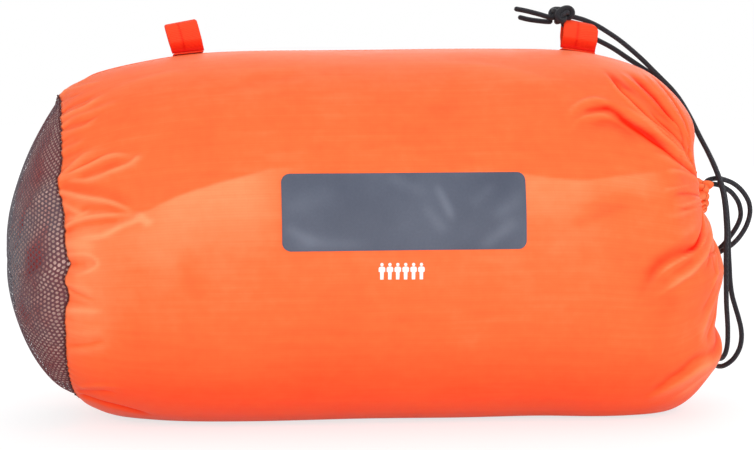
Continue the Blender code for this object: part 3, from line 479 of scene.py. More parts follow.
def sack_cloth():
    """Light coated nylon: fine threads, faint ripstop lines, and painted light and painted shade from
    the fold value.
    """
    cloth = Finish("sack_nylon")
    spot, across, along = cloth.along()
    fold = cloth.value("fold")
    broad = cloth.noise(cloth.place(), 11, 3)
    fine = cloth.noise(spot, 210, 3, (1, 0.16, 1))
    streak = cloth.noise(spot, 520, 2, (1, 0.03, 1))
    patchy = cloth.noise(cloth.place(), 42, 4)
    mottle = cloth.noise(cloth.place(), 190, 4)
    tone = fold + (broad - 0.5) * 0.45 + (patchy - 0.5) * 0.40 + (mottle - 0.5) * 0.36
    tone = tone + (fine - 0.5) * 0.34 + (streak - 0.5) * 0.34
    # Painted light and painted shade: the fold value mixes in the paler and deeper orange copies, with
    # random mottle on top
    lit = cloth.blend(tone * 0.8, ORANGE, ORANGE_PALE_AND_PAINTED_LIGHT)
    colour = cloth.blend(tone * -0.62, lit, ORANGE_DEEP_AND_PAINTED_SHADE)
    threads = weave(across, along, 0.42 * MM)
    lines = (across * (2 * pi / (1.3 * MM))).sine()
    check = ((across * (pi / (5.2 * MM))).sine().size() * -1).between(-0.07, 0.0)
    check = check.most(((along * (pi / (5.2 * MM))).sine().size() * -1).between(-0.07, 0.0))
    height = threads * 0.5 + lines * 0.25 + check * 0.6 + (fine - 0.5) * 0.8
    colour = cloth.blend(check * 0.07 + lines * 0.022 + 0.022, colour, ORANGE_DEEP_AND_PAINTED_SHADE)
    crumple = cloth.noise(spot, 75, 4)
    normal = cloth.relief(height, 0.05 * MM, 0.5)
    normal = cloth.relief(crumple, 0.55 * MM, 0.45, normal)
    rough = 0.46 + (fine - 0.5) * 0.16 + (broad - 0.5) * 0.12
    return cloth.paint(colour=colour, rough=rough, normal=normal, gloss=0.06, sheen=0.0)


def tape_cloth(name, light, deep, rib=0.85 * MM):
    """Ribbed woven tape: raised ribs across it, fine threads along it, painted shade in the gaps."""
    cloth = Finish(name)
    spot, across, along = cloth.along()
    fold = cloth.value("fold")
    ribs = (along * (2 * pi / rib)).sine() * 0.5 + 0.5
    threads = (across * (2 * pi / (0.42 * MM))).sine() * 0.5 + 0.5
    speck = cloth.noise(spot, 900, 2)
    # Painted shade: deeper in the gaps between the ribs and where the fold value is low; the specks
    # are random.
    share = (1 - ribs) * 0.4 + (speck - 0.5) * 0.35 - fold * 0.8
    colour = cloth.blend(share.between(0, 1), light, deep)
    normal = cloth.relief(ribs * 0.8 + threads * 0.25, 0.12 * MM, 0.7)
    rough = 0.62 + (speck - 0.5) * 0.2
    return cloth.paint(colour=colour, rough=rough, normal=normal, gloss=0.12, sheen=0.04, fuzz=0.4)


def cord_braid():
    """Braided cord: two sets of strands crossing round it, with a few lighter flecks."""
    braid = Finish("cord_braid")
    spot, across, along = braid.along()
    one = (across * (8 * pi) + along * (2 * pi / (2.6 * MM))).sine()
    two = (across * (8 * pi) - along * (2 * pi / (2.6 * MM))).sine()
    strands = one.most(two)
    speck = braid.noise(spot, 400, 2, (0.005, 1, 1))
    share = (speck - 0.35) * 0.9 + strands * 0.25
    colour = braid.blend(share.between(0, 0.8), CORD_BLACK, CORD_FLECK)
    normal = braid.relief(strands, 0.16 * MM, 0.8)
    rough = 0.55 + (speck - 0.5) * 0.2
    return braid.paint(colour=colour, rough=rough, normal=normal, gloss=0.25, sheen=0.05)


def net_yarn():
    """Fine knitted net: grey yarn, with a painted red glow standing in for the canopy's light showing
    through the yarn.
    """
    yarn = Finish("net_yarn")
    spot = yarn.place()
    loops = yarn.noise(spot, 1500, 2)
    broad = yarn.noise(spot, 34, 3)
    painted_glow = yarn.value("fold") + (broad - 0.5) * 1.5
    share = (loops - 0.5) * 0.8 + (broad - 0.5) * 0.5 + 0.5
    grey = yarn.blend(share.between(0, 1), (0.078, 0.060, 0.074), (0.160, 0.145, 0.170))
    red = yarn.blend(share.between(0, 1), (0.095, 0.018, 0.024), (0.185, 0.050, 0.058))
    colour = yarn.blend(painted_glow.between(0.1, 1.0), grey, red)
    normal = yarn.relief(loops, 0.2 * MM, 0.6)
    return yarn.paint(colour=colour, rough=0.7 + (loops - 0.5) * 0.2, normal=normal, gloss=0.2)


def canopy_cloth():
    """The shelter's own cloth, rolled and crumpled: painted light (peach) where it catches light, else
    painted shade (maroon).
    """
    cloth = Finish("canopy_nylon")
    _, across, along = cloth.along()
    fold = cloth.value("fold")
    broad = cloth.noise(cloth.place(), 48, 3)
    share = (broad - 0.5) * 2.4 + fold * 0.5 + 0.72
    colour = cloth.blend(share.between(0, 1), CANOPY_PAINTED_SHADE, CANOPY_PAINTED_LIGHT)
    normal = cloth.relief(cloth.noise(cloth.place(), 90, 4), 1.0 * MM, 0.6)
    normal = cloth.relief(weave(across, along, 0.5 * MM), 0.05 * MM, 0.4, normal)
    return cloth.paint(colour=colour, rough=0.5 + (broad - 0.5) * 0.2, normal=normal, gloss=0.3)


def print_film():
    """Printed film: matt grey with soft lighter creases and fine cloth grain under it."""
    film = Finish("print_film")
    spot, across, along = film.along()
    fold = film.value("fold")
    patchy = film.noise(film.place(), 30, 4)
    grain = film.noise(spot, 900, 2)
    share = (patchy - 0.5) * 0.9 + fold + (grain - 0.5) * 0.2 + 0.4
    colour = film.blend(share.between(0, 1.2), PRINT_GREY, (0.135, 0.152, 0.198))
    height = weave(across, along, 0.42 * MM) * 0.4 + grain * 0.5
    normal = film.relief(height, 0.05 * MM, 0.5)
    return film.paint(colour=colour, rough=0.42 + (patchy - 0.5) * 0.2, normal=normal, gloss=0.12)


def ink():
    """White ink with the cloth's grain showing at its edges."""
    layer = Finish("white_ink")
    grain = layer.noise(layer.place(), 1500, 2)
    colour = layer.blend((grain - 0.45).between(0, 0.5), WHITE_INK, (0.80, 0.66, 0.58))
    return layer.paint(colour=colour, rough=0.5 + (grain - 0.5) * 0.2,
                       normal=layer.relief(grain, 0.03 * MM, 0.4), gloss=0.3)


def thread(name, light, deep):
    """Twisted sewing thread: a slanted wave along it."""
    yarn = Finish(name)
    _, across, along = yarn.along()
    twist = (across * (2 * pi) + along * (2 * pi / (0.5 * MM))).sine() * 0.5 + 0.5
    colour = yarn.blend(twist, light, deep)
    return yarn.paint(colour=colour, rough=0.6 + twist * 0.1,
                      normal=yarn.relief(twist, 0.05 * MM, 0.6), gloss=0.3)


def seat_cloth():
    """Coated pack cloth of the seats: dark grey, coarse threads and a rubbed surface."""
    cloth = Finish("seat_cloth")
    spot, across, along = cloth.along()
    threads = weave(across, along, 0.9 * MM)
    rub = cloth.noise(spot, 40, 4)
    colour = cloth.blend(rub, SEAT_GREY, (0.16, 0.165, 0.175))
    normal = cloth.relief(threads + rub * 0.6, 0.12 * MM, 0.7)
    return cloth.paint(colour=colour, rough=0.6 + (rub - 0.5) * 0.3, normal=normal)


def clear_film():
    """Thin clear window film, creased where it is folded and hazy along the creases."""
    film = Finish("window_film")
    spot, _, _ = film.along()
    haze = film.noise(spot, 70, 4)
    colour = film.blend(haze, (0.72, 0.76, 0.78), (0.86, 0.88, 0.89))
    normal = film.relief(haze, 0.4 * MM, 0.7)
    return film.paint(colour=colour, rough=0.12 + haze * 0.25, normal=normal,
                      see=0.45 + haze * 0.3, coat=0.5)


def glint_tape():
    """Reflective tape: silver with a fine honeycomb of beads."""
    tape = Finish("glint_tape")
    spot, _, _ = tape.along()
    beads = tape.node("ShaderNodeTexVoronoi", inputs={"Vector": spot, "Scale": 900})
    colour = tape.blend(beads, SILVER, (0.42, 0.43, 0.45))
    normal = tape.relief(beads, 0.08 * MM, 0.6)
    return tape.paint(colour=colour, rough=0.28 + beads * 0.2, normal=normal, metal=0.6)


# Surfaces

def smooth_step(share):
    share = np.clip(share, 0, 1)
    return share * share * (3 - 2 * share)


def catmull_rom(table, at):
    """Rows of the table read at fractional row numbers, on a smooth curve through all of them."""
    last = len(table) - 1
    row = np.clip(np.floor(at).astype(int), 0, last - 1)
    t = (at - row)[..., None]
    before, start = table[np.maximum(row - 1, 0)], table[row]
    end, after = table[row + 1], table[np.minimum(row + 2, last)]
    return 0.5 * (
        2 * start
        + (end - before) * t
        + (2 * before - 5 * start + 4 * end - after) * t**2
        + (3 * start - before - 3 * end + after) * t**3
    )


def spline_bends(table):
    """Second derivatives of the natural cubic spline through the rows: each plus four times
    its neighbour plus the next is six times the rows' own second difference."""
    inner = len(table) - 2
    system = 4 * np.eye(inner) + np.eye(inner, k=1) + np.eye(inner, k=-1)
    bends = np.zeros_like(table)
    bends[1:-1] = np.linalg.solve(system, 6 * np.diff(table, 2, axis=0))
    return bends


SECTION_BENDS = spline_bends(SECTIONS)


def section_rows(stations):
    """The sections read at fractional stations, on the cubic spline, whose curvature runs on."""
    row = np.clip(np.floor(stations).astype(int), 0, LAST_STATION - 1)
    t = (stations - row)[..., None]
    bend = ((1 - t) ** 3 - (1 - t)) * SECTION_BENDS[row] + (t**3 - t) * SECTION_BENDS[row + 1]
    return (1 - t) * SECTIONS[row] + t * SECTIONS[row + 1] + bend / 6


SCALE = np.array([
    BAG_LENGTH, BAG_HEIGHT, BAG_LENGTH, BAG_HEIGHT, BAG_LENGTH, BAG_DEPTH, BAG_DEPTH,
])


def settled(height, floor):
    """Heights held at the floor, with a soft turn into it."""
    share = np.clip(0.5 + 0.5 * (height - floor) / FLOOR_BLEND, 0, 1)
    return floor + (height - floor) * share + FLOOR_BLEND * share * (1 - share)


def edge_pull(stations, angles):
    """How far the base edge stands further out than the solid's, fading along the sack."""
    table = np.array(EDGE_PULL, float)
    fine = catmull_rom(table, np.linspace(0, len(table) - 1, 500))
    pull = np.interp(np.degrees(angles), fine[:, 0], fine[:, 1] * MM, period=360)
    return pull * (1 - smooth_step(stations / 2.8))


def drawn_in(stations, x, z):
    """How far the mouth end is pulled in towards the base, by its height, up to the neck."""
    table = np.array(MOUTH_PULL, float)
    fine = catmull_rom(table, np.linspace(0, len(table) - 1, 400))
    pull = np.interp(z, fine[:, 0] * MM, fine[:, 1] * MM)
    pull = pull * smooth_step((x - 124 * MM) / (28 * MM))
    return pull * (1 - smooth_step((stations - 17.45) / 0.55))


def wrapped(angles):
    return (np.asarray(angles) + pi) % (2 * pi) - pi


def bare(stations, angles, inset=0.0):
    """Flattened ovals through each section's top, foot and sides, drawn in by the inset.

    Stations and angles are arrays of one shape.
    """
    rows = section_rows(np.asarray(stations, float)) * SCALE
    top_x, top_z, foot_x, foot_z, side_x, half_depth, shift = np.moveaxis(rows, -1, 0)
    power = 2 / SECTION_POWER
    up = np.sign(np.sin(angles)) * np.abs(np.sin(angles)) ** power
    front = np.sign(np.cos(angles)) * np.abs(np.cos(angles)) ** power
    half_rise = (top_z - foot_z) / 2
    drawn = 1 - inset / half_rise
    x = side_x + ((top_x + foot_x) / 2 - side_x) * up**2 + (top_x - foot_x) / 2 * up * drawn
    x = x - edge_pull(stations, angles)
    y = shift - (half_depth - inset) * front
    z = settled((top_z + foot_z) / 2 + half_rise * drawn * up, inset)
    return np.stack([x - drawn_in(stations, x, z), y, z], axis=-1)


def unit(vectors):
    return vectors / np.linalg.norm(vectors, axis=-1, keepdims=True)


def slopes(stations, angles):
    """The sack's own normals: the cross product of its two directions, each a small step wide."""
    step = 2e-3
    along = bare(stations + step, angles) - bare(stations - step, angles)
    around = bare(stations, angles + step) - bare(stations, angles - step)
    normal = np.cross(along, around)
    return normal / np.maximum(np.linalg.norm(normal, axis=-1, keepdims=True), 1e-12)


def in_picture(points):
    """Where points show in the picture, in pixels: their sideways and upward distance from the
    camera's axis, over their distance along it, times the lens's length in pixels."""
    right = np.array([cos(CAMERA_SIDE), sin(CAMERA_SIDE), 0])
    up = np.cross(right, -CAMERA_BACK)
    away = points - PICKED_FROM
    scale = LENS / SENSOR_WIDTH * PICTURE_WIDTH / (away @ -CAMERA_BACK)
    return np.stack([PICTURE_WIDTH / 2 + scale * (away @ right),
                     PICTURE_HEIGHT / 2 - scale * (away @ up)], axis=-1)


def near_side():
    """Places on the side of the sack that faces the camera, on a fine grid: how far across and
    down the picture each shows, its station, and its angle in degrees."""
    stations, angles = np.meshgrid(np.linspace(0, LAST_STATION, PICKING_ROWS),
                                   np.radians(np.linspace(*PICKING_ANGLES)), indexing="ij")
    points, out = bare(stations, angles), slopes(stations, angles)
    out = out * np.sign((out * (points - BAG_MIDDLE)).sum())
    seen = ((PICKED_FROM - points) * out).sum(axis=-1) > 0
    across, down = in_picture(points[seen]).T.copy()
    return across, down, stations[seen], np.degrees(angles[seen])


def folds_on_sack(folds, side):
    """The folds with the places that show nearest to their picked points, up to the neck."""
    across, down, stations, angles = side
    placed = []
    for *sizes, (left, top, enlarged), picked in folds:
        nearest = [
            ((across - left - x / enlarged) ** 2 + (down - top - y / enlarged) ** 2).argmin()
            for x, y in picked
        ]
        places = [(round(float(stations[i]), 2), round(float(angles[i]), 1)) for i in nearest]
        placed.append((*sizes, [place for place in places if place[0] < LAST_FOLD_STATION]))
    return placed


def fold_line(places):
    """Even points on the sack along a fold, the way it runs at each, and the way to its left."""
    table = np.array(places, float)
    table[:, 1] = np.radians(table[:, 1])
    rough = catmull_rom(table, np.linspace(0, len(table) - 1, 12 * len(table)))
    line = bare(rough[:, 0], rough[:, 1])
    steps = np.linalg.norm(np.diff(line, axis=0), axis=1)
    run = np.concatenate([[0], np.cumsum(steps)])
    count = max(8, int(run[-1] / FOLD_SPACING))
    even = np.linspace(0, run[-1], count)
    rough = np.stack([np.interp(even, run, column) for column in rough.T], axis=-1)
    line, normal = bare(rough[:, 0], rough[:, 1]), slopes(rough[:, 0], rough[:, 1])
    heading = unit(np.gradient(line, axis=0))
    return line, heading, np.cross(normal, heading)


def fold_field(points, fold, starts, ends, narrows):
    """Height of one fold at all points, and its tone: painted light above nought, painted shade below.

    Height times a bell over the distance to the fold's line, with its own width on each side,
    narrower towards the end, and rising from its strength at the start to that at the end.
    One that is strong at its end runs on from there and fades slowly towards the mouth.
    """
    height, left, right, tone, places = fold
    line, heading, side = fold_line(places)
    count = len(line)
    fade = MOUTH_FADE if ends >= 0.5 else 0.0
    reach = max(FOLD_REACH * max(left, right) * MM, 2 * fade)
    near = ((points > line.min(axis=0) - reach) & (points < line.max(axis=0) + reach)).all(axis=-1)
    raised, toned = np.zeros(points.shape[:-1]), np.zeros(points.shape[:-1])
    some = points[near]
    if not len(some):
        return raised, toned
    closest = np.concatenate([
        ((part[:, None] - line[None]) ** 2).sum(axis=-1).argmin(axis=1)
        for part in np.array_split(some, max(1, len(some) * count // 2_000_000))
    ])
    away = some - line[closest]
    sideways = (away * side[closest]).sum(axis=-1)
    past = np.where((closest == 0) | (closest == count - 1),
                    np.abs((away * heading[closest]).sum(axis=-1)), 0)
    share = closest / (count - 1)
    width = np.where(sideways > 0, left, right) * (1 + narrows * (0.3 - 0.75 * share)) * MM
    away = np.abs(sideways) / width
    seen = (1.2 * away) ** 2
    if height < 0 and max(left, right) < 2:
        away = (np.sqrt(away**2 + 0.02) - sqrt(0.02)) ** 0.7
    fades = np.where(closest == 0, 0.0, fade)
    end = (past / np.maximum(0.5 * width + 1.2 * MM, fades)) ** 2
    bell = np.exp(-away**2 - end)
    seen = np.exp(-seen - end)
    strength = (starts + (1 - starts) * smooth_step(share / 0.35))
    strength = strength * (ends + (1 - ends) * smooth_step((1 - share) / 0.35))
    raised[near] = height * MM * bell * strength
    toned[near] = 1.15 * tone * seen * strength
    return raised, toned


def hidden_folds():
    """Seeded folds for the sides that the picture doesn't show: puckers at the base edge, and
    long soft folds that run from the mouth over the back and the underside."""
    draw = np.random.default_rng(HIDDEN_SEED)
    puckers, long_folds = [], []
    for at in np.linspace(*HIDDEN_PUCKERS):
        at = at + draw.uniform(-3, 3)
        long, turn = draw.uniform(1.6, 3.4), draw.uniform(-5, 5)
        high = draw.choice([-1, 1]) * draw.uniform(0.5, 1.3)
        places = ((0, at), (long / 2, at + turn / 2), (long, at + turn))
        wide = draw.uniform(2, 4, 2)
        # Painted light on raised puckers and painted shade on sunk ones, at 0.7 times their height
        puckers.append((high, wide[0], wide[1], 0.7 * high, places))
    for at in np.linspace(*HIDDEN_LONG_FOLDS):
        at = at + draw.uniform(-4, 4)
        start, turn = draw.uniform(8.6, 9.8), draw.uniform(-9, 9)
        high = draw.choice([-1.2, 1]) * draw.uniform(1.0, 2.2)
        places = ((start, at + turn), (10.5, at + turn / 2), (12, at), (13.2, at - turn / 4))
        wide = draw.uniform(2.4, 5, 2)
        # Painted light and painted shade in step with the fold's height
        long_folds.append((high, wide[0], wide[1], 0.6 * high, places))
    return puckers, long_folds


def pleat_field(stations, angles):
    """Gathers round the mouth: rounded ridges with sharp valleys, fading out over the end, and their
    painted light and shade.
    """
    turn = angles + 0.16 * np.sin(3 * angles + 1) + 0.09 * np.sin(5 * angles + 2)
    turn = turn + 0.10 * np.sin(stations * 1.3)
    ridge = np.abs(np.sin(PLEATS * turn / 2)) ** 0.75 * 2 - 1.15
    half = np.abs(np.sin(np.floor(PLEATS / 2) * turn / 2 + 0.7)) ** 0.9 * 2 - 1.2
    front = np.exp(-((np.degrees(wrapped(angles)) - 10) / 75) ** 4)
    begin = 11.2 + 1.5 * front
    grown = smooth_step((stations - begin) / 3.2)
    close = smooth_step((stations - 15.2) / 1.6)
    depth = PLEAT_DEPTH * grown * (1 - 0.45 * smooth_step((stations - 16.3) / 1.7))
    field = (half * (1 - close) * 0.8 + ridge * close)
    return depth * field, field * grown * 0.9


def all_folds():
    """Every fold, with its strength at the start and end and how much it narrows."""
    seen_puckers = [
        (round(high * PUCKER_HEIGHTS, 2), round(left * PUCKER_WIDTHS, 1),
         round(right * PUCKER_WIDTHS, 1), round(tone * PUCKER_TONES, 2), *where)
        for high, left, right, tone, *where in PUCKERS
    ]
    puckers, long_folds = hidden_folds()
    side = near_side()
    return (
        [(fold, 1.0, 0.0, 0.0) for fold in folds_on_sack(seen_puckers, side) + puckers]
        + [(fold, 0.2, 0.1, 0.0) for fold in folds_on_sack(PANELS, side)]
        + [(fold, 0.0, 1.0, 1.0) for fold in folds_on_sack(SHOULDER_FOLDS, side)]
        + [(fold, 0.0, 1.0, 0.0) for fold in folds_on_sack(LOW_FOLDS, side)]
        + [(fold, 0.0, 0.6, 0.6) for fold in long_folds]
    )


ALL_FOLDS = all_folds()


def relief(stations, angles):
    """Height above the bare sack and tone of the cloth, for arrays of stations and angles; the tone is
    painted light and painted shade.
    """
    points = bare(stations, angles)
    height, tone = pleat_field(stations, angles)
    for fold, *strengths in ALL_FOLDS:
        raised, toned = fold_field(points, fold, *strengths)
        height, tone = height + raised, tone + toned
    middle = smooth_step(stations / 2) * smooth_step((15 - stations) / 3)
    back = smooth_step(-0.5 - np.cos(angles) * 1.2)
    wave = np.sin(2.1 * stations + 2.3 * np.sin(angles)) * np.cos(3 * angles + 0.6 * stations)
    wave = wave + 0.6 * np.sin(3.7 * stations - 1) * np.sin(5 * angles + 0.8)
    height = height + wave * middle * (0.25 + 0.9 * back) * MM
    hollow = np.exp(-((wrapped(angles - SEAM_ANGLE)) / 0.22) ** 2)
    edge = np.exp(-stations / 0.55)
    gather = np.sin(74 * angles + 5 * np.sin(7 * angles))
    gather = gather + 0.7 * np.sin(121 * angles + 4 * np.sin(5 * angles))
    # Painted light on the edge gathers' rises and painted shade between them
    height = height + 0.16 * MM * gather * edge
    tone = tone + 0.16 * gather * edge
    along = smooth_step((stations - 1.2) / 2) * smooth_step((11.5 - stations) / 2)
    height = height - 1.6 * MM * hollow * along
    # Painted shade towards the floor and painted light at the top rim, by height
    heights, tones = np.array(PAINTED_LIGHT_AND_SHADE_BY_HEIGHT).T
    return height, tone + np.interp(points[..., 2], heights * MM, tones)


def dressed(stations, angles, lift=0.0):
    """Points of the folded cloth, lifted along the bare sack's normals."""
    stations, angles = np.broadcast_arrays(np.asarray(stations, float), np.asarray(angles, float))
    height, _ = relief(stations, angles)
    points = bare(stations, angles) + slopes(stations, angles) * (height + lift)[..., None]
    points[..., 2] = settled(points[..., 2], max(0.0, -lift))
    return points


def grid_faces(rows, columns, closed_rows=False, closed_columns=False, first=0):
    """Quads between neighbouring points of a grid, with its ends joined where it is closed."""
    i = np.arange(rows if closed_rows else rows - 1)
    j = np.arange(columns if closed_columns else columns - 1)
    i, j = np.meshgrid(i, j, indexing="ij")
    k, m = (i + 1) % rows, (j + 1) % columns
    faces = [i * columns + j, k * columns + j, k * columns + m, i * columns + m]
    return first + np.stack(faces, axis=-1).reshape(-1, 4)


def outward(points, faces, centre=None):
    """The faces turned to point out: away from the centre, or by the volume they close."""
    corners = points[faces[:, :3]]
    last = points[faces[:, -1]]
    normal = np.cross(corners[:, 1] - corners[:, 0], corners[:, 2] - corners[:, 0])
    normal = normal + np.cross(corners[:, 2] - corners[:, 0], last - corners[:, 0])
    middle = corners.mean(axis=1) - (points.mean(axis=0) if centre is None else centre)
    return (normal * middle).sum() > 0


def piece(name, points, faces, finish, spots, corners=None, values=None, body=SACK, turn=None):
    """A mesh object from points, faces, a pattern map in metres and named values.

    The corners are the faces' places on the pattern map, where that is cut open and the
    points are not.
    """
    points = points.reshape(-1, 3)
    faces = faces if isinstance(faces, list) else [faces]
    corners = faces if corners is None else corners if isinstance(corners, list) else [corners]
    if turn is None:
        turn = not outward(points, faces[0])
    order = slice(None, None, -1) if turn else slice(None)
    mesh = bpy.data.meshes.new(name)
    mesh.from_pydata(points.tolist(), [], [f for part in faces for f in part[:, order].tolist()])
    spread = np.concatenate([part[:, order].ravel() for part in corners])
    mesh.uv_layers.new(name="UVMap").data.foreach_set("uv", spots.reshape(-1, 2)[spread].ravel())
    for key, value in (values or {"fold": np.zeros(len(points))}).items():
        data = mesh.attributes.new(key, "FLOAT", "POINT").data
        data.foreach_set("value", np.asarray(value, np.float32).ravel())
    mesh.polygons.foreach_set("use_smooth", [True] * len(mesh.polygons))
    mesh.materials.append(finish)
    mesh.update()
    made = bpy.data.objects.new(name, mesh)
    bpy.context.scene.collection.objects.link(made)
    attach(made, body)
    return made


def inside_out(corner):
    """Whether closed quads, given by their corners, hold a volume below nought."""
    turned = np.cross(corner[:, 1] - corner[:, 0], corner[:, 2] - corner[:, 0])
    turned = turned + np.cross(corner[:, 2] - corner[:, 0], corner[:, 3] - corner[:, 0])
    return (corner.mean(axis=1) * turned).sum() < 0


def running(points, axis):
    """Distance travelled along one axis of a grid of points."""
    steps = np.linalg.norm(np.diff(points, axis=axis), axis=-1)
    total = np.cumsum(steps, axis=axis)
    start = np.zeros_like(np.take(total, [0], axis=axis))
    return np.concatenate([start, total], axis=axis)


def opened(points):
    """A grid of closed rings with its first column repeated at the end, as the map needs it."""
    return np.concatenate([points, points[:, :1]], axis=1)


def loft(name, rings, finish, poles=(False, False), values=None, body=SACK, turn=None):
    """A skin over closed rings, an array of rings by points, with a pole at either end."""
    rows, columns = rings.shape[:2]
    flat = opened(rings)
    spots = np.stack([running(flat, 1), running(flat, 0)], axis=-1).reshape(-1, 2)
    faces = [grid_faces(rows, columns, False, True)]
    corners = [grid_faces(rows, columns + 1)]
    points = rings.reshape(-1, 3)
    given = {key: np.ravel(value) for key, value in (values or {}).items()}
    j = np.arange(columns)
    for row, pole, sign in ((0, poles[0], 1), (rows - 1, poles[1], -1)):
        if not pole:
            continue
        tip = len(points)
        points = np.concatenate([points, rings[row].mean(axis=0)[None]])
        spots = np.concatenate([spots, spots[row * (columns + 1)][None]])
        given = {key: np.append(value, value[row * columns:][:columns].mean())
                 for key, value in given.items()}
        here, ahead = row * columns + j, row * columns + (j + 1) % columns
        faces.append(np.stack([here, ahead, np.full(columns, tip)], axis=-1)[:, ::sign])
        flat_here = row * (columns + 1) + j
        spot = np.full(columns, len(spots) - 1)
        corners.append(np.stack([flat_here, flat_here + 1, spot], axis=-1)[:, ::sign])
    return piece(name, points, faces, finish, spots, corners, given or None, body, turn)


def shell(name, rings, finish, values=None, body=SACK):
    """A closed ring-shaped skin: both the rows and the columns of the grid run all the way round."""
    rows, columns = rings.shape[:2]
    flat = opened(rings)
    flat = np.concatenate([flat, flat[:1]])
    spots = np.stack([running(flat, 1), running(flat, 0)], axis=-1)
    faces = grid_faces(rows, columns, True, True)
    points = rings.reshape(-1, 3)
    return piece(name, points, faces, finish, spots, grid_faces(rows + 1, columns + 1),
                 values, body, inside_out(points[faces]))


def slab_parts(outer, inner, first=0):
    """Points, faces and pattern spots of a closed sheet between two grids of points."""
    rows, columns = outer.shape[:2]
    top = grid_faces(rows, columns)
    low = grid_faces(rows, columns, first=rows * columns)[:, ::-1]
    edge = [i * columns for i in range(rows)]
    edge += [(rows - 1) * columns + j for j in range(1, columns)]
    edge += [i * columns + columns - 1 for i in range(rows - 2, -1, -1)]
    edge += list(range(columns - 2, 0, -1))
    edge = np.array(edge)
    ahead = np.roll(edge, -1)
    rim = np.stack([edge, edge + rows * columns, ahead + rows * columns, ahead], axis=-1)
    points = np.concatenate([outer.reshape(-1, 3), inner.reshape(-1, 3)])
    faces = np.concatenate([top, low, rim])
    if inside_out(points[faces] - points.mean(axis=0)):
        faces = faces[:, ::-1]
    spots = np.stack([running(outer, 1), running(outer, 0)], axis=-1)
    return points, faces + first, np.concatenate([spots.reshape(-1, 2)] * 2)


def slab(name, outer, inner, finish, body=SACK, values=None):
    """A closed sheet between two grids of points, with its own pattern map."""
    points, faces, spots = slab_parts(outer, inner)
    given = {key: np.concatenate([np.ravel(value)] * 2) for key, value in (values or {}).items()}
    return piece(name, points, faces, finish, spots, None, given or None, body, False)


# Camera and cords

def place_camera():
    """A long lens a little to the left and above, looking at the middle of the sack."""
    target, back = Vector(CAMERA_TARGET), Vector(CAMERA_BACK)
    lens = bpy.data.cameras.new("camera")
    lens.lens, lens.sensor_width = LENS, SENSOR_WIDTH
    camera = bpy.data.objects.new("camera", lens)
    camera.location = target + CAMERA_DISTANCE * back
    camera.rotation_euler = (-back).to_track_quat("-Z", "Y").to_euler()
    bpy.context.scene.collection.objects.link(camera)
    bpy.context.scene.camera = camera


def even_line(route, step):
    """A smooth curve through the route, as points at an even distance."""
    table = np.array(route, float)
    fine = catmull_rom(table, np.linspace(0, len(table) - 1, 40 * len(table)))
    run = np.concatenate([[0], np.cumsum(np.linalg.norm(np.diff(fine, axis=0), axis=1))])
    places = np.linspace(0, run[-1], int(run[-1] / step) + 1)
    return np.stack([np.interp(places, run, column) for column in fine.T], axis=-1)


def carried_frames(line):
    """Two directions across the line at each point, turned no more than the line itself turns."""
    heading = unit(np.gradient(line, axis=0))
    across = np.cross(heading[0], (0.3, 0.1, 0.9))
    found = []
    for way in heading:
        across = across - way * (across @ way)
        across = across / np.linalg.norm(across)
        found.append(across)
    one = np.array(found)
    return one, np.cross(heading, one)


def tube(name, line, radius, finish, sides=CORD_SIDES, body=SACK):
    """A round tube: a circle carried along the line, with rounded ends."""
    one, two = carried_frames(line)
    angles = np.arange(sides) * 2 * pi / sides
    ends = np.minimum(np.arange(len(line)), np.arange(len(line))[::-1])
    girth = radius * np.sqrt(1 - np.clip(1 - (ends + 0.4) / 2.4, 0, 1) ** 2)
    ring = np.cos(angles)[:, None] * one[:, None] + np.sin(angles)[:, None] * two[:, None]
    rings = line[:, None] + girth[:, None, None] * ring
    made = loft(name, rings, finish, (True, True), body=body, turn=False)
    corner = np.cross(rings[3, 1] - rings[3, 0], rings[4, 0] - rings[3, 0])
    if corner @ (rings[3, 0] - line[3]) > 0:
        made.data.flip_normals()
    # The braid goes round in turns and along in metres.
    layer = made.data.uv_layers["UVMap"].data
    spots = np.empty(len(layer) * 2)
    layer.foreach_get("uv", spots)
    spots = spots.reshape(-1, 2)
    spots[:, 0] /= 2 * pi * radius
    layer.foreach_set("uv", spots.ravel())
    return made


def hem_ring(angle):
    return HEM_CENTRE + HEM_RADIUS * np.array([0, cos(angle), sin(angle)])


def knotted_lines():
    """The two strands led through one overhand knot and out as tails, as even lines.

    The knot starts as an open pretzel with both strands side by side: along the sack it is
    t^3 - 3t, up t^4 - 4t^2 + 2, and from front to back 10t - t^5. It is drawn tight in small
    steps: each point moves to between its neighbours, and points nearer than a cord's width
    to another run are pushed apart.
    """
    turn = np.linspace(-2.0, 2.0, 44)
    pretzel = np.stack([
        turn**3 - 3 * turn, -(turn**5 - 10 * turn) * 0.30, turn**4 - 4 * turn**2 + 2,
    ])
    pretzel = (pretzel.T * (-2.3, 1.0, 2.3)) * MM
    runs = []
    for strand, tail, beside in (
        (FRONT_STRAND, FRONT_TAIL, -STRANDS_APART), (BACK_STRAND, BACK_TAIL, STRANDS_APART),
    ):
        led = np.array(strand, float) * MM
        knot = KNOT_CENTRE + pretzel[::-1] + np.array([0.25, beside, 0.3 * beside]) * MM
        out = np.array(tail, float) * MM
        runs.append((led, knot, out))
    step = 0.8 * MM
    loose = []
    for led, knot, out in runs:
        whole = even_line(np.concatenate([led[-1:], knot, out[:1]]), step)
        loose.append(whole)
    tight = drawn_tight(loose, 320)
    lines = []
    for (led, _, out), knot, angle in zip(runs, tight, (CORD_FROM, CORD_TO)):
        begin = [hem_ring(angle)]
        line = np.concatenate([begin, led[:-1], knot[::3][:-1], knot[-1:], out[1:]])
        lines.append(even_line(line, CORD_STEP))
    return lines


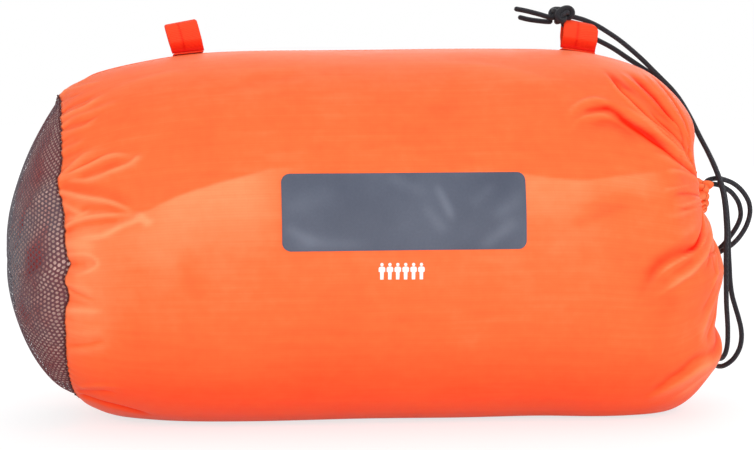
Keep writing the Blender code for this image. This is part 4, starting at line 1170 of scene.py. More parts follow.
def drawn_tight(lines, rounds):
    """Curve shortening with the ends held, and runs kept a cord's width apart."""
    count = [len(line) for line in lines]
    points = np.concatenate(lines)
    owner = np.repeat(np.arange(len(lines)), count)
    place = np.concatenate([np.arange(n) for n in count])
    held = (place == 0) | (place == np.repeat(count, count) - 1)
    apart = (owner[:, None] != owner[None]) | (np.abs(place[:, None] - place[None]) > 4)
    free = ~held[:, None]
    for _ in range(rounds):
        middle = (np.roll(points, 1, axis=0) + np.roll(points, -1, axis=0)) / 2
        points = points + free * 0.35 * (middle - points)
        for _ in range(2):
            between = points[:, None] - points[None]
            gap = np.linalg.norm(between, axis=-1) + np.eye(len(points))
            over = np.where(apart, np.clip(CORD_DIAMETER * 0.97 - gap, 0, None), 0)
            push = (between / gap[..., None] * over[..., None]).sum(axis=1)
            share = np.maximum((over > 0).sum(axis=1), 1)[:, None]
            points = points + free * 0.5 * push / share
    return np.split(points, np.cumsum(count)[:-1])


def make_cords(finish):
    front, back = knotted_lines()
    replaced = (("drawcord_front_strand", "drawcord_front_tail", "drawcord_knot"),
                ("drawcord_back_strand", "drawcord_back_tail"))
    for name, line, nodes, length in (
        ("front_cord", front, replaced[0], FRONT_LENGTH),
        ("back_cord", back, replaced[1], BACK_LENGTH),
    ):
        made = tube(name, line, CORD_DIAMETER / 2, finish)
        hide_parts(*nodes)
    held = np.array([hem_ring(angle) for angle in np.linspace(CORD_FROM, CORD_TO, 60)])
    inside = tube("hem_cord", even_line(held, CORD_STEP), CORD_DIAMETER / 2, finish)
    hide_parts("drawcord_in_hem")


# The sack

TURNED_IN_BASE = ((0.75, -1.2 * MM), (0.3, -1.1 * MM), (0.05, -0.7 * MM))
TURNED_IN_NECK = ((17.9, -0.8 * MM), (17.3, -1.3 * MM), (16.6, -1.5 * MM))
SACK_ROWS = 292
FRONT_COLUMNS, BACK_COLUMNS = 322, 300
UNDERSIDE = radians(-97)


def sack_stations():
    """Stations of the sack's rows: closer together at the puckers and at the mouth."""
    fine = np.linspace(0, LAST_STATION, 1500)
    path = np.stack([bare(fine, np.full_like(fine, a)) for a in (0, pi / 2)])
    step = np.linalg.norm(np.diff(path, axis=1), axis=-1).mean(axis=0)
    middle = (fine[1:] + fine[:-1]) / 2
    close = 1 + 1.0 * (middle < 3.7) + 1.5 * (middle > 8.9) + 0.8 * (middle > 15.5)
    travelled = np.concatenate([[0], np.cumsum(step * close)])
    return np.interp(np.linspace(0, travelled[-1], SACK_ROWS), travelled, fine)


def make_sack(finish):
    """The filled sack in its two panels, front and back, which meet under the seam and on the
    underside. The base edge is turned in under the net's seam, and the neck is turned in."""
    out = [(station, 0) for station in sack_stations()]
    stations, lift = np.array([*TURNED_IN_BASE, *out, *TURNED_IN_NECK]).T
    for place, first, last, columns in (
        ("front", UNDERSIDE, SEAM_ANGLE, FRONT_COLUMNS),
        ("back", SEAM_ANGLE, UNDERSIDE + 2 * pi, BACK_COLUMNS),
    ):
        grid_s, grid_a = np.meshgrid(stations, np.linspace(first, last, columns), indexing="ij")
        height, tone = relief(grid_s, grid_a)
        points = bare(grid_s, grid_a) + slopes(grid_s, grid_a) * (height + lift[:, None])[..., None]
        points[..., 2] = settled(points[..., 2], 0)
        spots = np.stack([grid_a * 95 * MM, running(points, 0)], axis=-1)
        faces = grid_faces(*grid_s.shape)
        turn = not outward(points.reshape(-1, 3), faces, BAG_MIDDLE)
        # The fold value carries the painted light and painted shade worked out by relief()
        made = piece(f"sack_{place}", points, faces, finish, spots, None, {"fold": tone}, SACK, turn)
        if place == "front":
            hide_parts("sack_body")


# The net base

def base_points(shares, angles, inset, pulled_back=0.0):
    """The rounded base: from the sack's edge at share 0, along a quarter turn, to its tip at 1."""
    ring = bare(np.zeros(360), np.radians(np.arange(360.0)), inset)
    middle = (ring.max(axis=0) + ring.min(axis=0)) / 2
    edge = bare(np.zeros_like(shares), angles, inset)
    reach = BASE_BULGE + np.array([pulled_back, 0, 0]) - middle
    turn = shares * pi / 2
    out = np.sin(turn) ** (1.25 + 0.75 * np.clip(np.sin(angles), 0, 1))
    return middle + (edge - middle) * np.cos(turn)[..., None] + reach * out[..., None]


NET_PITCH = 2.3 * MM
NET_HOLE = 0.335
NET_WALL = 0.10 * MM
NET_REACH = 1.035
NET_TABLE = (90, 240)
NET_TABLE_TO = 1.12
NET_CENTRE = np.array([-120, 0, 84]) * MM
DOME_ROWS, SKIRT_ROWS, SKIRT_TO = 120, 30, 1.2
BASE_STITCHES, BASE_STITCH_LIFT = 232, -0.45 * MM
BASE_STITCH_SIZE = (0.72 * MM, 0.42 * MM, 0.45 * MM)
BASE_STITCH_OUT = np.array([0.9 * MM, 0, 0])
NET_INSET = 1.7 * MM


def net_table():
    """Places on the net by its flat radius, 1 at the seam, and angle; and the flat radius itself."""
    radii, turns = NET_TABLE
    angles = np.arange(turns + 1) * 2 * pi / turns
    shares = np.linspace(1, 0, DOME_ROWS)
    grid_a = np.broadcast_to(angles[None], (DOME_ROWS, turns + 1))
    dome = base_points(np.broadcast_to(shares[:, None], grid_a.shape), grid_a, NET_INSET)
    skirt_s = np.linspace(0, SKIRT_TO, SKIRT_ROWS)[1:]
    deeper = NET_INSET + 2.4 * MM * smooth_step(skirt_s / 0.5)[:, None]
    skirt = bare(skirt_s[:, None] + 0 * angles, angles[None] + 0 * skirt_s[:, None], deeper)
    lines = np.concatenate([dome, skirt])
    run = running(lines, 0)
    whole = run[DOME_ROWS - 1]
    wanted = np.linspace(0, NET_TABLE_TO, radii)
    table = np.empty((radii, turns + 1, 3))
    for j in range(turns + 1):
        for axis in range(3):
            table[:, j, axis] = np.interp(wanted * whole[j], run[:, j], lines[:, j, axis])
    return table, float(whole.mean())


def on_table(table, radius, angle):
    """The table read between its rows and columns, each place a blend of its four neighbours."""
    rows, columns = table.shape[:2]
    i = np.clip(radius / NET_TABLE_TO * (rows - 1), 0, rows - 1.001)
    j = (angle % (2 * pi)) / (2 * pi) * (columns - 1)
    i0, j0 = i.astype(int), np.minimum(j.astype(int), columns - 2)
    u, v = (i - i0)[..., None], (j - j0)[..., None]
    first = table[i0, j0] * (1 - u) + table[i0 + 1, j0] * u
    second = table[i0, j0 + 1] * (1 - u) + table[i0 + 1, j0 + 1] * u
    return first * (1 - v) + second * v


def eased(across, radius):
    """The net's width drawn out by up to four tenths at its middle, where it is stretched most."""
    share = across / radius
    return radius * (1.40 * share - 0.13 * share**3)


def honeycomb(flat_radius):
    """Corners of the net's cells laid flat, and of the hole in each, a little uneven in size."""
    count = int(NET_REACH * flat_radius / NET_PITCH) + 2
    wider = int(count * 1.2)
    i, j = np.meshgrid(np.arange(-count, count + 1), np.arange(-wider, wider + 1))
    column = j * NET_PITCH * sqrt(3) / 2
    middle = np.stack([column, (i + 0.5 * (j % 2)) * NET_PITCH], axis=-1).reshape(-1, 2)
    from_middle = np.hypot(eased(middle[:, 0], flat_radius), middle[:, 1]) / flat_radius
    inside = from_middle < NET_REACH
    middle, from_middle = middle[inside], from_middle[inside]
    draw = np.random.default_rng(5)
    size = NET_HOLE * NET_PITCH * draw.uniform(0.88, 1.12, len(middle))
    size *= 0.90 + 0.125 * from_middle
    corner = np.radians(60 * np.arange(6))
    spoke = np.stack([np.cos(corner), np.sin(corner)], axis=-1)
    outer = middle[:, None] + spoke * (NET_PITCH / sqrt(3))
    hole = middle[:, None] + spoke * size[:, None, None] * (1.08, 1)
    flat = np.concatenate([outer, hole], axis=1)
    flat[..., 0] = eased(flat[..., 0], flat_radius)
    return flat


def make_net(finish):
    """The round net: six quads round every hole of a honeycomb laid flat, then carried onto the
    dome by flat radius and angle, with small gathers where it is eased into the seam."""
    table, flat_radius = net_table()
    flat = honeycomb(flat_radius)
    radius = np.hypot(flat[..., 0], flat[..., 1]) / flat_radius
    angle = np.arctan2(flat[..., 1], -flat[..., 0])
    points = on_table(table, np.minimum(radius, NET_TABLE_TO - 0.01), angle)
    gather = np.sin(41 * angle + 2 * np.sin(3 * angle)) * smooth_step((radius - 0.72) / 0.28)
    sag = np.sin(7 * angle + 5 * radius) * np.sin(9 * radius) * 0.5
    inward = (gather * 0.4 + sag * 0.5 - 0.2) * MM * np.clip(1.02 - radius, 0, 1) ** 0.3
    points = points + unit(points - NET_CENTRE) * inward[..., None]
    cell = np.arange(len(flat))[:, None] * 12
    k = np.arange(6)
    faces = np.stack([cell + k, cell + (k + 1) % 6, cell + 6 + (k + 1) % 6, cell + 6 + k], axis=-1)
    faces = faces.reshape(-1, 4)
    flat_points = points.reshape(-1, 3)
    # Painted glow through the yarn: stronger lower down and out towards the seam
    low = np.clip((90 * MM - flat_points[:, 2]) / (70 * MM), 0, 1)
    near = np.clip((radius.ravel() - 0.25) / 0.5, 0, 1)
    painted_glow = (0.75 + 0.35 * low) * near
    made = piece("base_net", flat_points, faces, finish, flat.reshape(-1, 2), None,
                 {"fold": painted_glow}, SACK, not outward(flat_points, faces, NET_CENTRE))
    merge_doubles(made)
    wall = made.modifiers.new("wall", "SOLIDIFY")
    wall.thickness, wall.offset = NET_WALL, -1
    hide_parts("base_net_panel")


def make_base_seam(tape, thread_and_gap_shade):
    """The binding inside the base seam, and the dark stitches between net and sack, partly thread and
    partly painted shade of the gaps along the seam.
    """
    angles = np.arange(300) * 2 * pi / 300
    rows = np.concatenate([np.linspace(0.35, 0.85, 9), np.linspace(0.85, 0.35, 9)])
    depth = np.where(np.arange(18) < 9, 4.6, 5.6) * MM + 0.12 * MM * np.sin(np.arange(18) * 2.0)
    band = bare(rows[:, None] + 0 * angles, angles[None] + 0 * rows[:, None], depth[:, None])
    bound = shell("seam_binding", band, tape)
    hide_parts("base_seam_binding")
    turn = np.arange(BASE_STITCHES) * 2 * pi / BASE_STITCHES
    turn = turn + 0.002 * np.sin(turn * 37)
    at_edge = np.zeros(BASE_STITCHES)
    edge = dressed(at_edge, turn, BASE_STITCH_LIFT)
    ahead = unit(dressed(at_edge, turn + 0.01, BASE_STITCH_LIFT) - edge)
    ticks = stitches("base_stitches", edge - BASE_STITCH_OUT, ahead, slopes(at_edge, turn),
                     BASE_STITCH_SIZE, thread_and_gap_shade)


def merge_doubles(made):
    """The mesh with points at one place made one."""
    work = bmesh.new()
    work.from_mesh(made.data)
    bmesh.ops.remove_doubles(work, verts=work.verts, dist=2e-6)
    work.to_mesh(made.data)
    work.free()
    made.data.polygons.foreach_set("use_smooth", [True] * len(made.data.polygons))


def stitches(name, places, along, out, size, finish, body=SACK):
    """Small stretched balls, one for each stitch: half length, half width and half height."""
    rings, sides = 5, 6
    tilt = np.linspace(-pi / 2, pi / 2, rings + 2)
    turn = np.arange(sides) * 2 * pi / sides
    ball = np.stack([
        np.sin(tilt)[:, None] + 0 * turn, np.cos(tilt)[:, None] ** 0.6 * np.cos(turn),
        np.cos(tilt)[:, None] ** 0.6 * np.sin(turn),
    ], axis=-1) * size
    across = unit(np.cross(out, along))
    up = np.cross(along, across)
    frames = np.stack([along, across, up], axis=1)
    points = places[:, None, None] + np.einsum("rsk,nkj->nrsj", ball, frames)
    count = (rings + 2) * sides
    faces = grid_faces(rings + 2, sides, False, True)
    faces = (faces[None] + count * np.arange(len(places))[:, None, None]).reshape(-1, 4)
    spots = np.stack(np.broadcast_arrays(turn / (2 * pi), (np.sin(tilt) * size[0])[:, None]), axis=-1)
    spots = np.broadcast_to(spots, (len(places), rings + 2, sides, 2))
    made = piece(name, points, faces, finish, np.ascontiguousarray(spots), None, None, body,
                 not outward(points[0].reshape(-1, 3), faces[:(rings + 1) * sides]))
    merge_doubles(made)
    return made


# Seam, loops and hem

def station_at(x):
    """The station whose section lies at this x, along the straight middle of the sack."""
    side_x = SECTIONS[:, 4] * BAG_LENGTH
    straight = side_x.argmax() + 1
    return np.interp(x, side_x[:straight], np.arange(straight))


def stitch_row(name, x_from, x_to, across, lift, finish):
    """An even row of stitches on the seam, this far to one side of its middle."""
    count = int((x_to - x_from) / SEAM_PITCH)
    x = x_from + (np.arange(count) + 0.5) * SEAM_PITCH
    stations, angle = station_at(x), SEAM_ANGLE + across / (BAG_DEPTH / 2)
    angles = np.full(count, angle)
    places = dressed(stations, angles, lift)
    ahead = unit(dressed(stations + 0.02, angles, lift) - places)
    size = (1.15 * MM, 0.24 * MM, 0.2 * MM)
    return stitches(name, places, ahead, slopes(stations, angles), size, finish)


def make_seam(finish, stitch):
    """The flat felled seam along the top, slightly drawn in under each stitch."""
    rows = np.linspace(SEAM_FROM_X, SEAM_TO_X, 420)
    across = np.linspace(-1, 1, 15)
    stations = station_at(rows)
    angles = SEAM_ANGLE + across * SEAM_WIDTH / BAG_DEPTH
    grid_s, grid_a = np.meshgrid(stations, angles, indexing="ij")
    from_row = np.abs(across) - SEAM_ROW_AT
    dip = 0.12 * MM * np.cos(2 * pi * rows / SEAM_PITCH)[:, None] * np.exp(-(from_row / 0.16) ** 2)
    dip = dip + 0.28 * MM * np.exp(-(from_row / 0.12) ** 2)
    ends = np.minimum(rows - SEAM_FROM_X, SEAM_TO_X - rows)
    grown = smooth_step(ends / (9 * MM))[:, None]
    thick = (0.7 * MM * (1 - np.abs(across) ** 8 * 0.7)) * grown
    height, tone = relief(grid_s, grid_a)
    base, normal = bare(grid_s, grid_a), slopes(grid_s, grid_a)
    outer = base + normal * (height + (0.3 * MM - dip) * grown + thick)[..., None]
    inner = base + normal * (height - 0.1 * MM + 0.15 * MM * grown)[..., None]
    # The seam's fold value is the sack's painted tone plus painted shade in the dips under the
    # stitches
    made = slab("felled_seam", outer, inner, finish, values={"fold": tone - dip / MM * 0.8 * grown})
    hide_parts("lengthwise_seam")
    for place, side in (("front", -1), ("back", 1)):
        row = stitch_row(f"seam_stitches_{place}", SEAM_FROM_X + SEAM_ROW_FROM_END,
                         SEAM_TO_X - SEAM_ROW_FROM_END, side * SEAM_ROW_AT * SEAM_WIDTH / 2,
                         0.74 * MM, stitch)


def seam_frame(x, lift, upright):
    """A place on the seam: X along the seam, Z out of the sack, or upright across it."""
    station, step = station_at(x), 0.05
    at = np.array([station]), np.array([SEAM_ANGLE])
    normal = slopes(*at)[0]
    point = dressed(*at, lift)[0]
    along = Vector(bare(at[0] + step, at[1])[0] - bare(at[0] - step, at[1])[0]).normalized()
    out = Vector((normal[0], 0 if upright else normal[1], normal[2]))
    out = (out - along * out.dot(along)).normalized()
    placed = Matrix((along, out.cross(along), out)).transposed().to_4x4()
    placed.translation = Vector(point)
    return np.array(placed)


def placed_at(points, frame_at):
    return points @ frame_at[:3, :3].T + frame_at[:3, 3]


def loop_contour(rise, reach):
    """One closed outline of the loop seen along the seam: a foot, flared sides, a round fold."""
    inner = reach < LOOP_HALF_GAP + TAPE_WALL / 2
    fold = rise - (LOOP_HALF_GAP + TAPE_WALL)
    foot = 0.1 * MM if inner else LOOP_FOOT_RADIUS
    start = LOOP_FOOT_RADIUS if inner else 0.0
    heights = np.linspace(start, fold, 40)
    widths = foot + (reach - foot) * smooth_step((heights - start) / (LOOP_FLARE - start))
    turn = np.linspace(0, pi, 34)[1:-1]
    under = np.linspace(0, pi, 9)[1:-1]
    y = np.concatenate([widths, reach * np.cos(turn), -widths[::-1], -foot * np.cos(under)])
    z = np.concatenate([
        heights, fold + reach * np.sin(turn), heights[::-1], start - foot * np.sin(under),
    ])
    return np.stack([y, z], axis=-1)


def tape_loop(name, node, body, x, rise, lean, corner, width, slant, finish):
    """The folded tape: its two contours joined by rounded selvedges, leaning along the seam."""
    across = np.linspace(-1, 1, 25)
    outer, inner = (loop_contour(rise, LOOP_HALF_GAP + wall) for wall in (TAPE_WALL, 0))

    def face(contour, side, soft):
        past = np.clip(contour[:, 1] - (rise - corner), 0, corner)
        half = width / 2 - corner + np.sqrt(corner**2 - past**2) - soft
        place = side * half[:, None] - contour[:, 1:] * tan(lean)
        full = np.broadcast_arrays(place, contour[:, :1], contour[:, 1:] * (1 + slant * side))
        return np.stack(full, axis=-1)

    middle = (outer + inner) / 2
    crease = np.exp(-((across + 0.18) / 0.07) ** 2) * 0.35 * MM
    top = face(outer, across, 0)
    top[..., 1] -= np.sign(top[..., 1]) * crease * smooth_step(top[..., 2] / (4 * MM))
    low = face(inner, across[::-1], 0)
    edge = 0.12 * MM
    rings = np.concatenate([top, face(middle, np.array([1.0]), -edge), low,
                            face(middle, np.array([-1.0]), -edge)], axis=1)
    # Painted shade: deeper near the foot, where the loop meets the sack, and along the crease on its
    # top
    fold = np.zeros(rings.shape[:2])
    fold -= 0.9 * np.exp(-np.clip(rings[..., 2], 0, None) / (2.4 * MM))
    fold[:, :25] -= crease / MM * 1.4
    made = shell(name, placed_at(rings, seam_frame(x, LOOP_LIFT, True)), finish, {"fold": fold}, body)
    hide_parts(node)


def stitch_tab(place, x, width, finish, stitch):
    """The tab that holds a loop down, with stitches round its edge and crosswise over it."""
    frame_at = seam_frame(x, TAB_LIFT, False)
    columns = np.linspace(-1, 1, 33)
    rows = np.linspace(-1, 1, 19)
    grid_x, grid_y = np.meshgrid(columns * (width / 2 - 0.5 * MM),
                                 rows * STITCH_TAB_DEPTH / 2, indexing="ij")
    tab_ripple = 0.08 * MM * np.sin(grid_x / MM * 1.3) * np.sin(grid_y / MM * 0.9 + 1)
    rounded = (np.abs(columns[:, None]) ** 10 + np.abs(rows[None]) ** 10) * 0.10 * MM
    upper = np.stack([grid_x, grid_y, 0.3 * MM + tab_ripple * 0.3 - rounded], axis=-1)
    lower = np.stack([grid_x, grid_y, -0.3 * MM + 0 * grid_x], axis=-1)
    # The ripple also sets the colour: painted shade in its dips, painted light on its rises, a little
    # deeper throughout
    tab = slab(f"{place}_tab", placed_at(upper, frame_at), placed_at(lower, frame_at), finish,
               values={"fold": tab_ripple / MM * 2 - 0.15})
    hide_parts(f"{place}_stitch_tab")
    inset_x, inset_y = TAPE_WIDTH / 2 - 1.3 * MM, STITCH_TAB_DEPTH / 2 - 1.2 * MM
    ends = [((-1, -1), (1, -1)), ((1, -1), (1, 1)), ((1, 1), (-1, 1)), ((-1, 1), (-1, -1)),
            ((-1, -1), (1, 1)), ((-1, 1), (1, -1))]
    places, ways = [], []
    for start, end in ends:
        start, end = (np.array(p) * (inset_x, inset_y) for p in (start, end))
        long = np.linalg.norm(end - start)
        count = max(2, int(long / TAB_PITCH))
        steps = (np.arange(count) + 0.5) / count
        places.append(start + (end - start) * steps[:, None])
        ways.append(np.tile((end - start) / long, (len(steps), 1)))
    places, ways = np.concatenate(places), np.concatenate(ways)
    local = np.column_stack([places, np.full(len(places), 0.34 * MM)])
    along = np.column_stack([ways, np.zeros(len(ways))]) @ frame_at[:3, :3].T
    out = np.tile(frame_at[:3, 2], (len(places), 1))
    sewn = stitches(f"{place}_tab_stitches", placed_at(local, frame_at), along, out,
                    (0.9 * MM, 0.2 * MM, 0.16 * MM), stitch)


def make_loops(finish, stitch):
    """The two tape loops that fold over, and the tabs that hold them down."""
    for place, body, x, rise, lean, corner, width, slant in (
        ("base_end", BASE_LOOP, -83.9 * MM, 14.0 * MM, radians(9.0), 1.0 * MM, 15.6 * MM, 0.04),
        ("mouth_end", MOUTH_LOOP, 108.8 * MM, 13.1 * MM, radians(4.0), 3.5 * MM, 17.4 * MM, -0.02),
    ):
        tape_loop(f"{place}_loop", f"{place}_tape_loop", body, x, rise, lean, corner, width,
                  slant, finish)
        stitch_tab(place, x, width, finish, stitch)


def make_hem(finish):
    """The gathered channel round the mouth: a tube along the cord's circle, its girth rising
    and falling with the gathers, and its ends flared where the cord leaves."""
    turns = np.linspace(CORD_FROM + CORD_SHOWS, CORD_TO - CORD_SHOWS, 150)
    section = np.arange(28) * 2 * pi / 28
    gather = np.abs(np.sin(4.6 * turns + 0.8 * np.sin(2 * turns))) ** 0.7
    ends = np.minimum(turns - turns[0], turns[-1] - turns)
    flare = np.exp(-(ends / 0.16) ** 2)
    first = np.exp(-((turns - turns[0]) / 0.30) ** 2)

    def pipe(radius, wavy):
        spoke = np.stack([0 * turns, np.cos(turns), np.sin(turns)], axis=-1)[:, None]
        girth = radius + wavy * (0.5 * gather - 0.35 + 0.5 * flare)[:, None] * MM
        girth = girth * (1 + wavy * 0.07 * np.sin(3 * section + 6 * turns[:, None]))
        centre = HEM_CENTRE + HEM_RADIUS * spoke
        ripple = wavy * (0.5 * gather - 1.0 + 2.9 * first)[:, None] * MM
        offset = (girth * np.cos(section))[..., None] * spoke
        forward = girth * np.sin(section) + ripple * (np.sin(section) > 0) * np.sin(section)
        return centre + offset + forward[..., None] * np.array([1.0, 0, 0])

    outer = pipe(2.2 * MM, 1.0)
    inner = pipe(1.35 * MM, 0.0)[::-1]
    # Painted light on the gathers' bulges and painted shade between them, and deep painted shade on
    # the channel's inner wall
    tone = np.concatenate([np.broadcast_to((gather - 0.35)[:, None], outer.shape[:2]),
                           np.full(inner.shape[:2], -1.2)])
    made = shell("gathered_hem", np.concatenate([outer, inner]), finish, {"fold": tone})
    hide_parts("drawcord_hem")


# Print

def front_place(x, z):
    """Station and angle on the front at this x and height."""
    stations = station_at(x)
    rows = section_rows(stations) * SCALE
    top, foot = rows[..., 1], rows[..., 3]
    heights = (z - (top + foot) / 2) / ((top - foot) / 2)
    return stations, np.sign(heights) * np.arcsin(np.abs(heights) ** (SECTION_POWER / 2))


# Heights on a figure and half its body's width there, in mm
FIGURE_BODY = [
    (-3.9, 0.50), (-3.85, 0.80), (-0.6, 0.86), (-0.45, 1.08), (-0.3, 1.50), (1.2, 1.52),
    (1.75, 1.25), (1.95, 0.72), (2.05, 0.28),
]
HEAD_AT, HEAD_RADIUS = 2.95, 0.76
FIGURES = 6
FIRST_FIGURE, NEXT_FIGURE = np.array([(-4.05, 79.1), (3.60, -0.03)])
# Creases of the print: from and to in mm from its middle, width in mm and how light
PRINT_CREASES = [
    ((14, 12), (21, -4), 1.8, 0.5), ((8, 3), (18, -10), 2.6, 0.25), ((32, -17), (50, -4), 3.2, 0.4),
    ((38, -3), (54, 7), 3.6, 0.25), ((-54, 2), (-30, 9), 5.0, 0.2), ((-50, -13), (-16, -15), 3.6, 0.3),
    ((-8, 16), (10, 8), 3.0, 0.2), ((40, 12), (28, 2), 3.0, 0.2), ((-54, -6), (-40, -14), 2.4, 0.3),
]


def make_print(finish):
    """The rounded grey patch on the front, with soft creases."""
    half_width = PRINT_WIDTH / 2
    bend = PRINT_CORNER * (1 - np.cos(np.linspace(0, pi / 2, 14)))
    straight = np.linspace(PRINT_CORNER - half_width, half_width - PRINT_CORNER, 120)[1:-1]
    columns = np.concatenate([bend - half_width, straight, (half_width - bend)[::-1]])
    rows = np.sin(np.linspace(-pi / 2, pi / 2, 46))
    past = np.clip(np.abs(columns) - (half_width - PRINT_CORNER), 0, PRINT_CORNER)
    rounded = np.sqrt(np.maximum(PRINT_CORNER**2 - past**2, (0.02 * MM) ** 2))
    half = PRINT_HEIGHT / 2 - PRINT_CORNER + rounded
    x = (PRINT_CENTRE_X + columns)[:, None] + 0 * rows
    z = PRINT_CENTRE_Z + rows[None] * half[:, None]
    stations, angles = front_place(x, z)
    tone = np.zeros(x.shape)
    for start, end, wide, light in PRINT_CREASES:
        start, end = np.array(start) * MM, np.array(end) * MM
        spot = np.stack([columns[:, None] + 0 * rows, rows[None] * half[:, None]], axis=-1) - start
        way = (end - start) / np.linalg.norm(end - start)
        along = spot @ way / np.linalg.norm(end - start)
        off = spot @ np.array([-way[1], way[0]])
        held = np.exp(-((along - 0.5) / 0.45) ** 4)
        tone += light * held * np.exp(-(off / (wide * MM)) ** 2)
    raised = slopes(stations, angles) * (tone * 0.12 * MM)[..., None]
    outer = dressed(stations, angles, 0.42 * MM) + raised
    inner = dressed(stations, angles, 0.1 * MM)
    made = slab("print_panel", outer, inner, finish, values={"fold": tone})
    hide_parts("print_patch")


def make_figures(white):
    """Six small figures in a row: a body whose half width changes with its height, and a head."""
    body_z, body_w = np.array(FIGURE_BODY).T
    head_t = np.linspace(-pi / 2 * 0.97, pi / 2 * 0.97, 9)
    head_z, head_w = HEAD_AT + HEAD_RADIUS * np.sin(head_t), HEAD_RADIUS * np.cos(head_t)
    across = np.linspace(-1, 1, 7)
    points, faces, spots = [], [], []
    for index in range(FIGURES):
        at_x, at_z = (FIRST_FIGURE + index * NEXT_FIGURE) * MM
        for heights, widths in ((body_z, body_w), (head_z, head_w)):
            x = at_x + across[None] * widths[:, None] * MM
            z = at_z + heights[:, None] * MM + 0 * across
            stations, angles = front_place(x, z)
            part = slab_parts(dressed(stations, angles, 0.16 * MM),
                              dressed(stations, angles, 0.02 * MM), sum(map(len, points)))
            for kept, new in zip((points, faces, spots), part):
                kept.append(new)
    made = piece("figures", np.concatenate(points), np.concatenate(faces), white,
                 np.concatenate(spots), None, None, SACK, False)


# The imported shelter

CANOPY_INSET = 1.4 * MM
CANOPY_WALL = 28 * MM
CANOPY_CENTRE = np.array([-110, 0, 84]) * MM
LAYER_GAP = 0.5 * MM
STRIP_WALL, SEAT_WALL, WINDOW_WALL, SLEEVE_WALL = 0.8 * MM, 11 * MM, 2.5 * MM, 8 * MM
LAYER_FROM, LAYER_TO, SLEEVE_TO = 3.7, 10.4, 8
# Depths below the sack's face of the strip, seat, window, sleeve and core
STRIP_AT = CANOPY_INSET + CANOPY_WALL + LAYER_GAP
SEAT_AT = STRIP_AT + STRIP_WALL + LAYER_GAP
WINDOW_AT = SEAT_AT + SEAT_WALL + LAYER_GAP
SLEEVE_AT = WINDOW_AT + WINDOW_WALL + LAYER_GAP
CORE_AT = SLEEVE_AT + SLEEVE_WALL + LAYER_GAP


def canopy_face(angles):
    """The canopy's crumpled face behind the net, and its painted light and shade there."""
    shares = np.linspace(0.985, 0.03, 46)
    grid_t, grid_a = np.meshgrid(shares, angles, indexing="ij")
    dome = base_points(grid_t, grid_a, 3.0 * MM, 1.3 * MM)
    swirl = grid_a * 3 + grid_t * 7 + 0.8 * np.sin(2 * grid_a)
    ridge = np.abs(np.sin(swirl)) ** 0.6 + 0.5 * np.abs(np.sin(2.3 * swirl + 1.7 * np.sin(grid_a * 5)))
    ridge = ridge + 0.35 * np.sin(11 * grid_a + 9 * grid_t)
    out = (ridge - 1.9) * 1.5 * MM * smooth_step(grid_t / 0.12)
    dome = dome + unit(dome - CANOPY_CENTRE) * out[..., None]
    patch = np.sin(3.1 * grid_a + 4 * grid_t) * np.sin(11 * grid_t + 2 * grid_a)
    # Painted light on the ridges, in patches and towards the seam, painted shade between
    tone = 0.9 * (ridge - 1.0) + 0.9 * patch + 0.9 * (1 - grid_t) ** 3
    return dome, tone


def make_canopy(finish):
    """The rolled canopy that fills the sack, with a pocket inside it."""
    angles = np.arange(300) * 2 * pi / 300
    dome, dome_painted_light = canopy_face(angles)
    stations = np.concatenate([np.linspace(0, 3, 14), np.linspace(3.4, 11.4, 46)])
    grid_s, grid_a = np.meshgrid(stations, angles, indexing="ij")
    height, _ = relief(grid_s, grid_a)
    filled = smooth_step((grid_s - 1) / 2.5)
    narrowed = smooth_step((grid_s - 9.5) / 2.4)
    start = 3.6 + 3.4 * smooth_step(grid_s / 0.35)
    depth = (start + (2.4 - start) * filled + 3.2 * narrowed) * MM
    wrap = bare(grid_s, grid_a) + slopes(grid_s, grid_a) * (np.minimum(height, 0) - depth)[..., None]
    pocket = [(s, CANOPY_INSET + CANOPY_WALL) for s in (11.2, 11, 10.4, 9.2, 8, 6.5, 5, 4.3, 3.7)]
    pocket += [(3.68, CANOPY_INSET + CANOPY_WALL + 1 * MM)]
    pocket += [(s, CORE_AT) for s in (3.7, 4.3, 5, 6.5, 8, 9.2, 10.4, 11, 11.7, 12.3)]
    inner = np.stack([bare(np.full_like(angles, s), angles, d) for s, d in pocket])
    rings = np.concatenate([dome, wrap, inner])
    tone = np.zeros(rings.shape[:2])
    tone[:len(dome)] = dome_painted_light
    made = loft("packed_canopy", rings, finish, (True, True), {"fold": tone})
    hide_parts("shelter_canopy")


def make_panels(canopy, seat, window, silver):
    """The reflective strips and the folded panels in the canopy's pocket."""
    for place, start in (("upper", 0), ("lower", 180)):
        half = (start + 12, start + 168)
        rows = np.linspace(LAYER_FROM, LAYER_TO, 60)
        band = np.radians(np.linspace(start + 61, start + 119, 24))
        grid_s, grid_a = np.meshgrid(rows, band, indexing="ij")
        ripple = 0.12 * MM * np.sin(grid_s * 9 + 3 * grid_a)
        tape = slab(f"{place}_glint_strip", bare(grid_s, grid_a, STRIP_AT + 0.12 * MM + ripple),
                    bare(grid_s, grid_a, STRIP_AT + 0.6 * MM + ripple), silver)
        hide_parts(f"{place}_reflective_strip")
        for name, node, slot, depth, wall, layers, thick, end, finish in (
            ("seat", "seat_panel", "seat_fabric", SEAT_AT, SEAT_WALL, 5, 1.1 * MM, LAYER_TO, seat),
            ("window", "window_panel", "window_film", WINDOW_AT, WINDOW_WALL, 2, 0.3 * MM,
             LAYER_TO, window),
            ("sleeve", "vent_sleeve", "canopy_fabric", SLEEVE_AT, SLEEVE_WALL, 4, 0.8 * MM,
             SLEEVE_TO, canopy),
        ):
            folded_sheet(f"{place}_{name}", f"{place}_{node}", half, depth, wall, layers,
                         thick, end, finish)


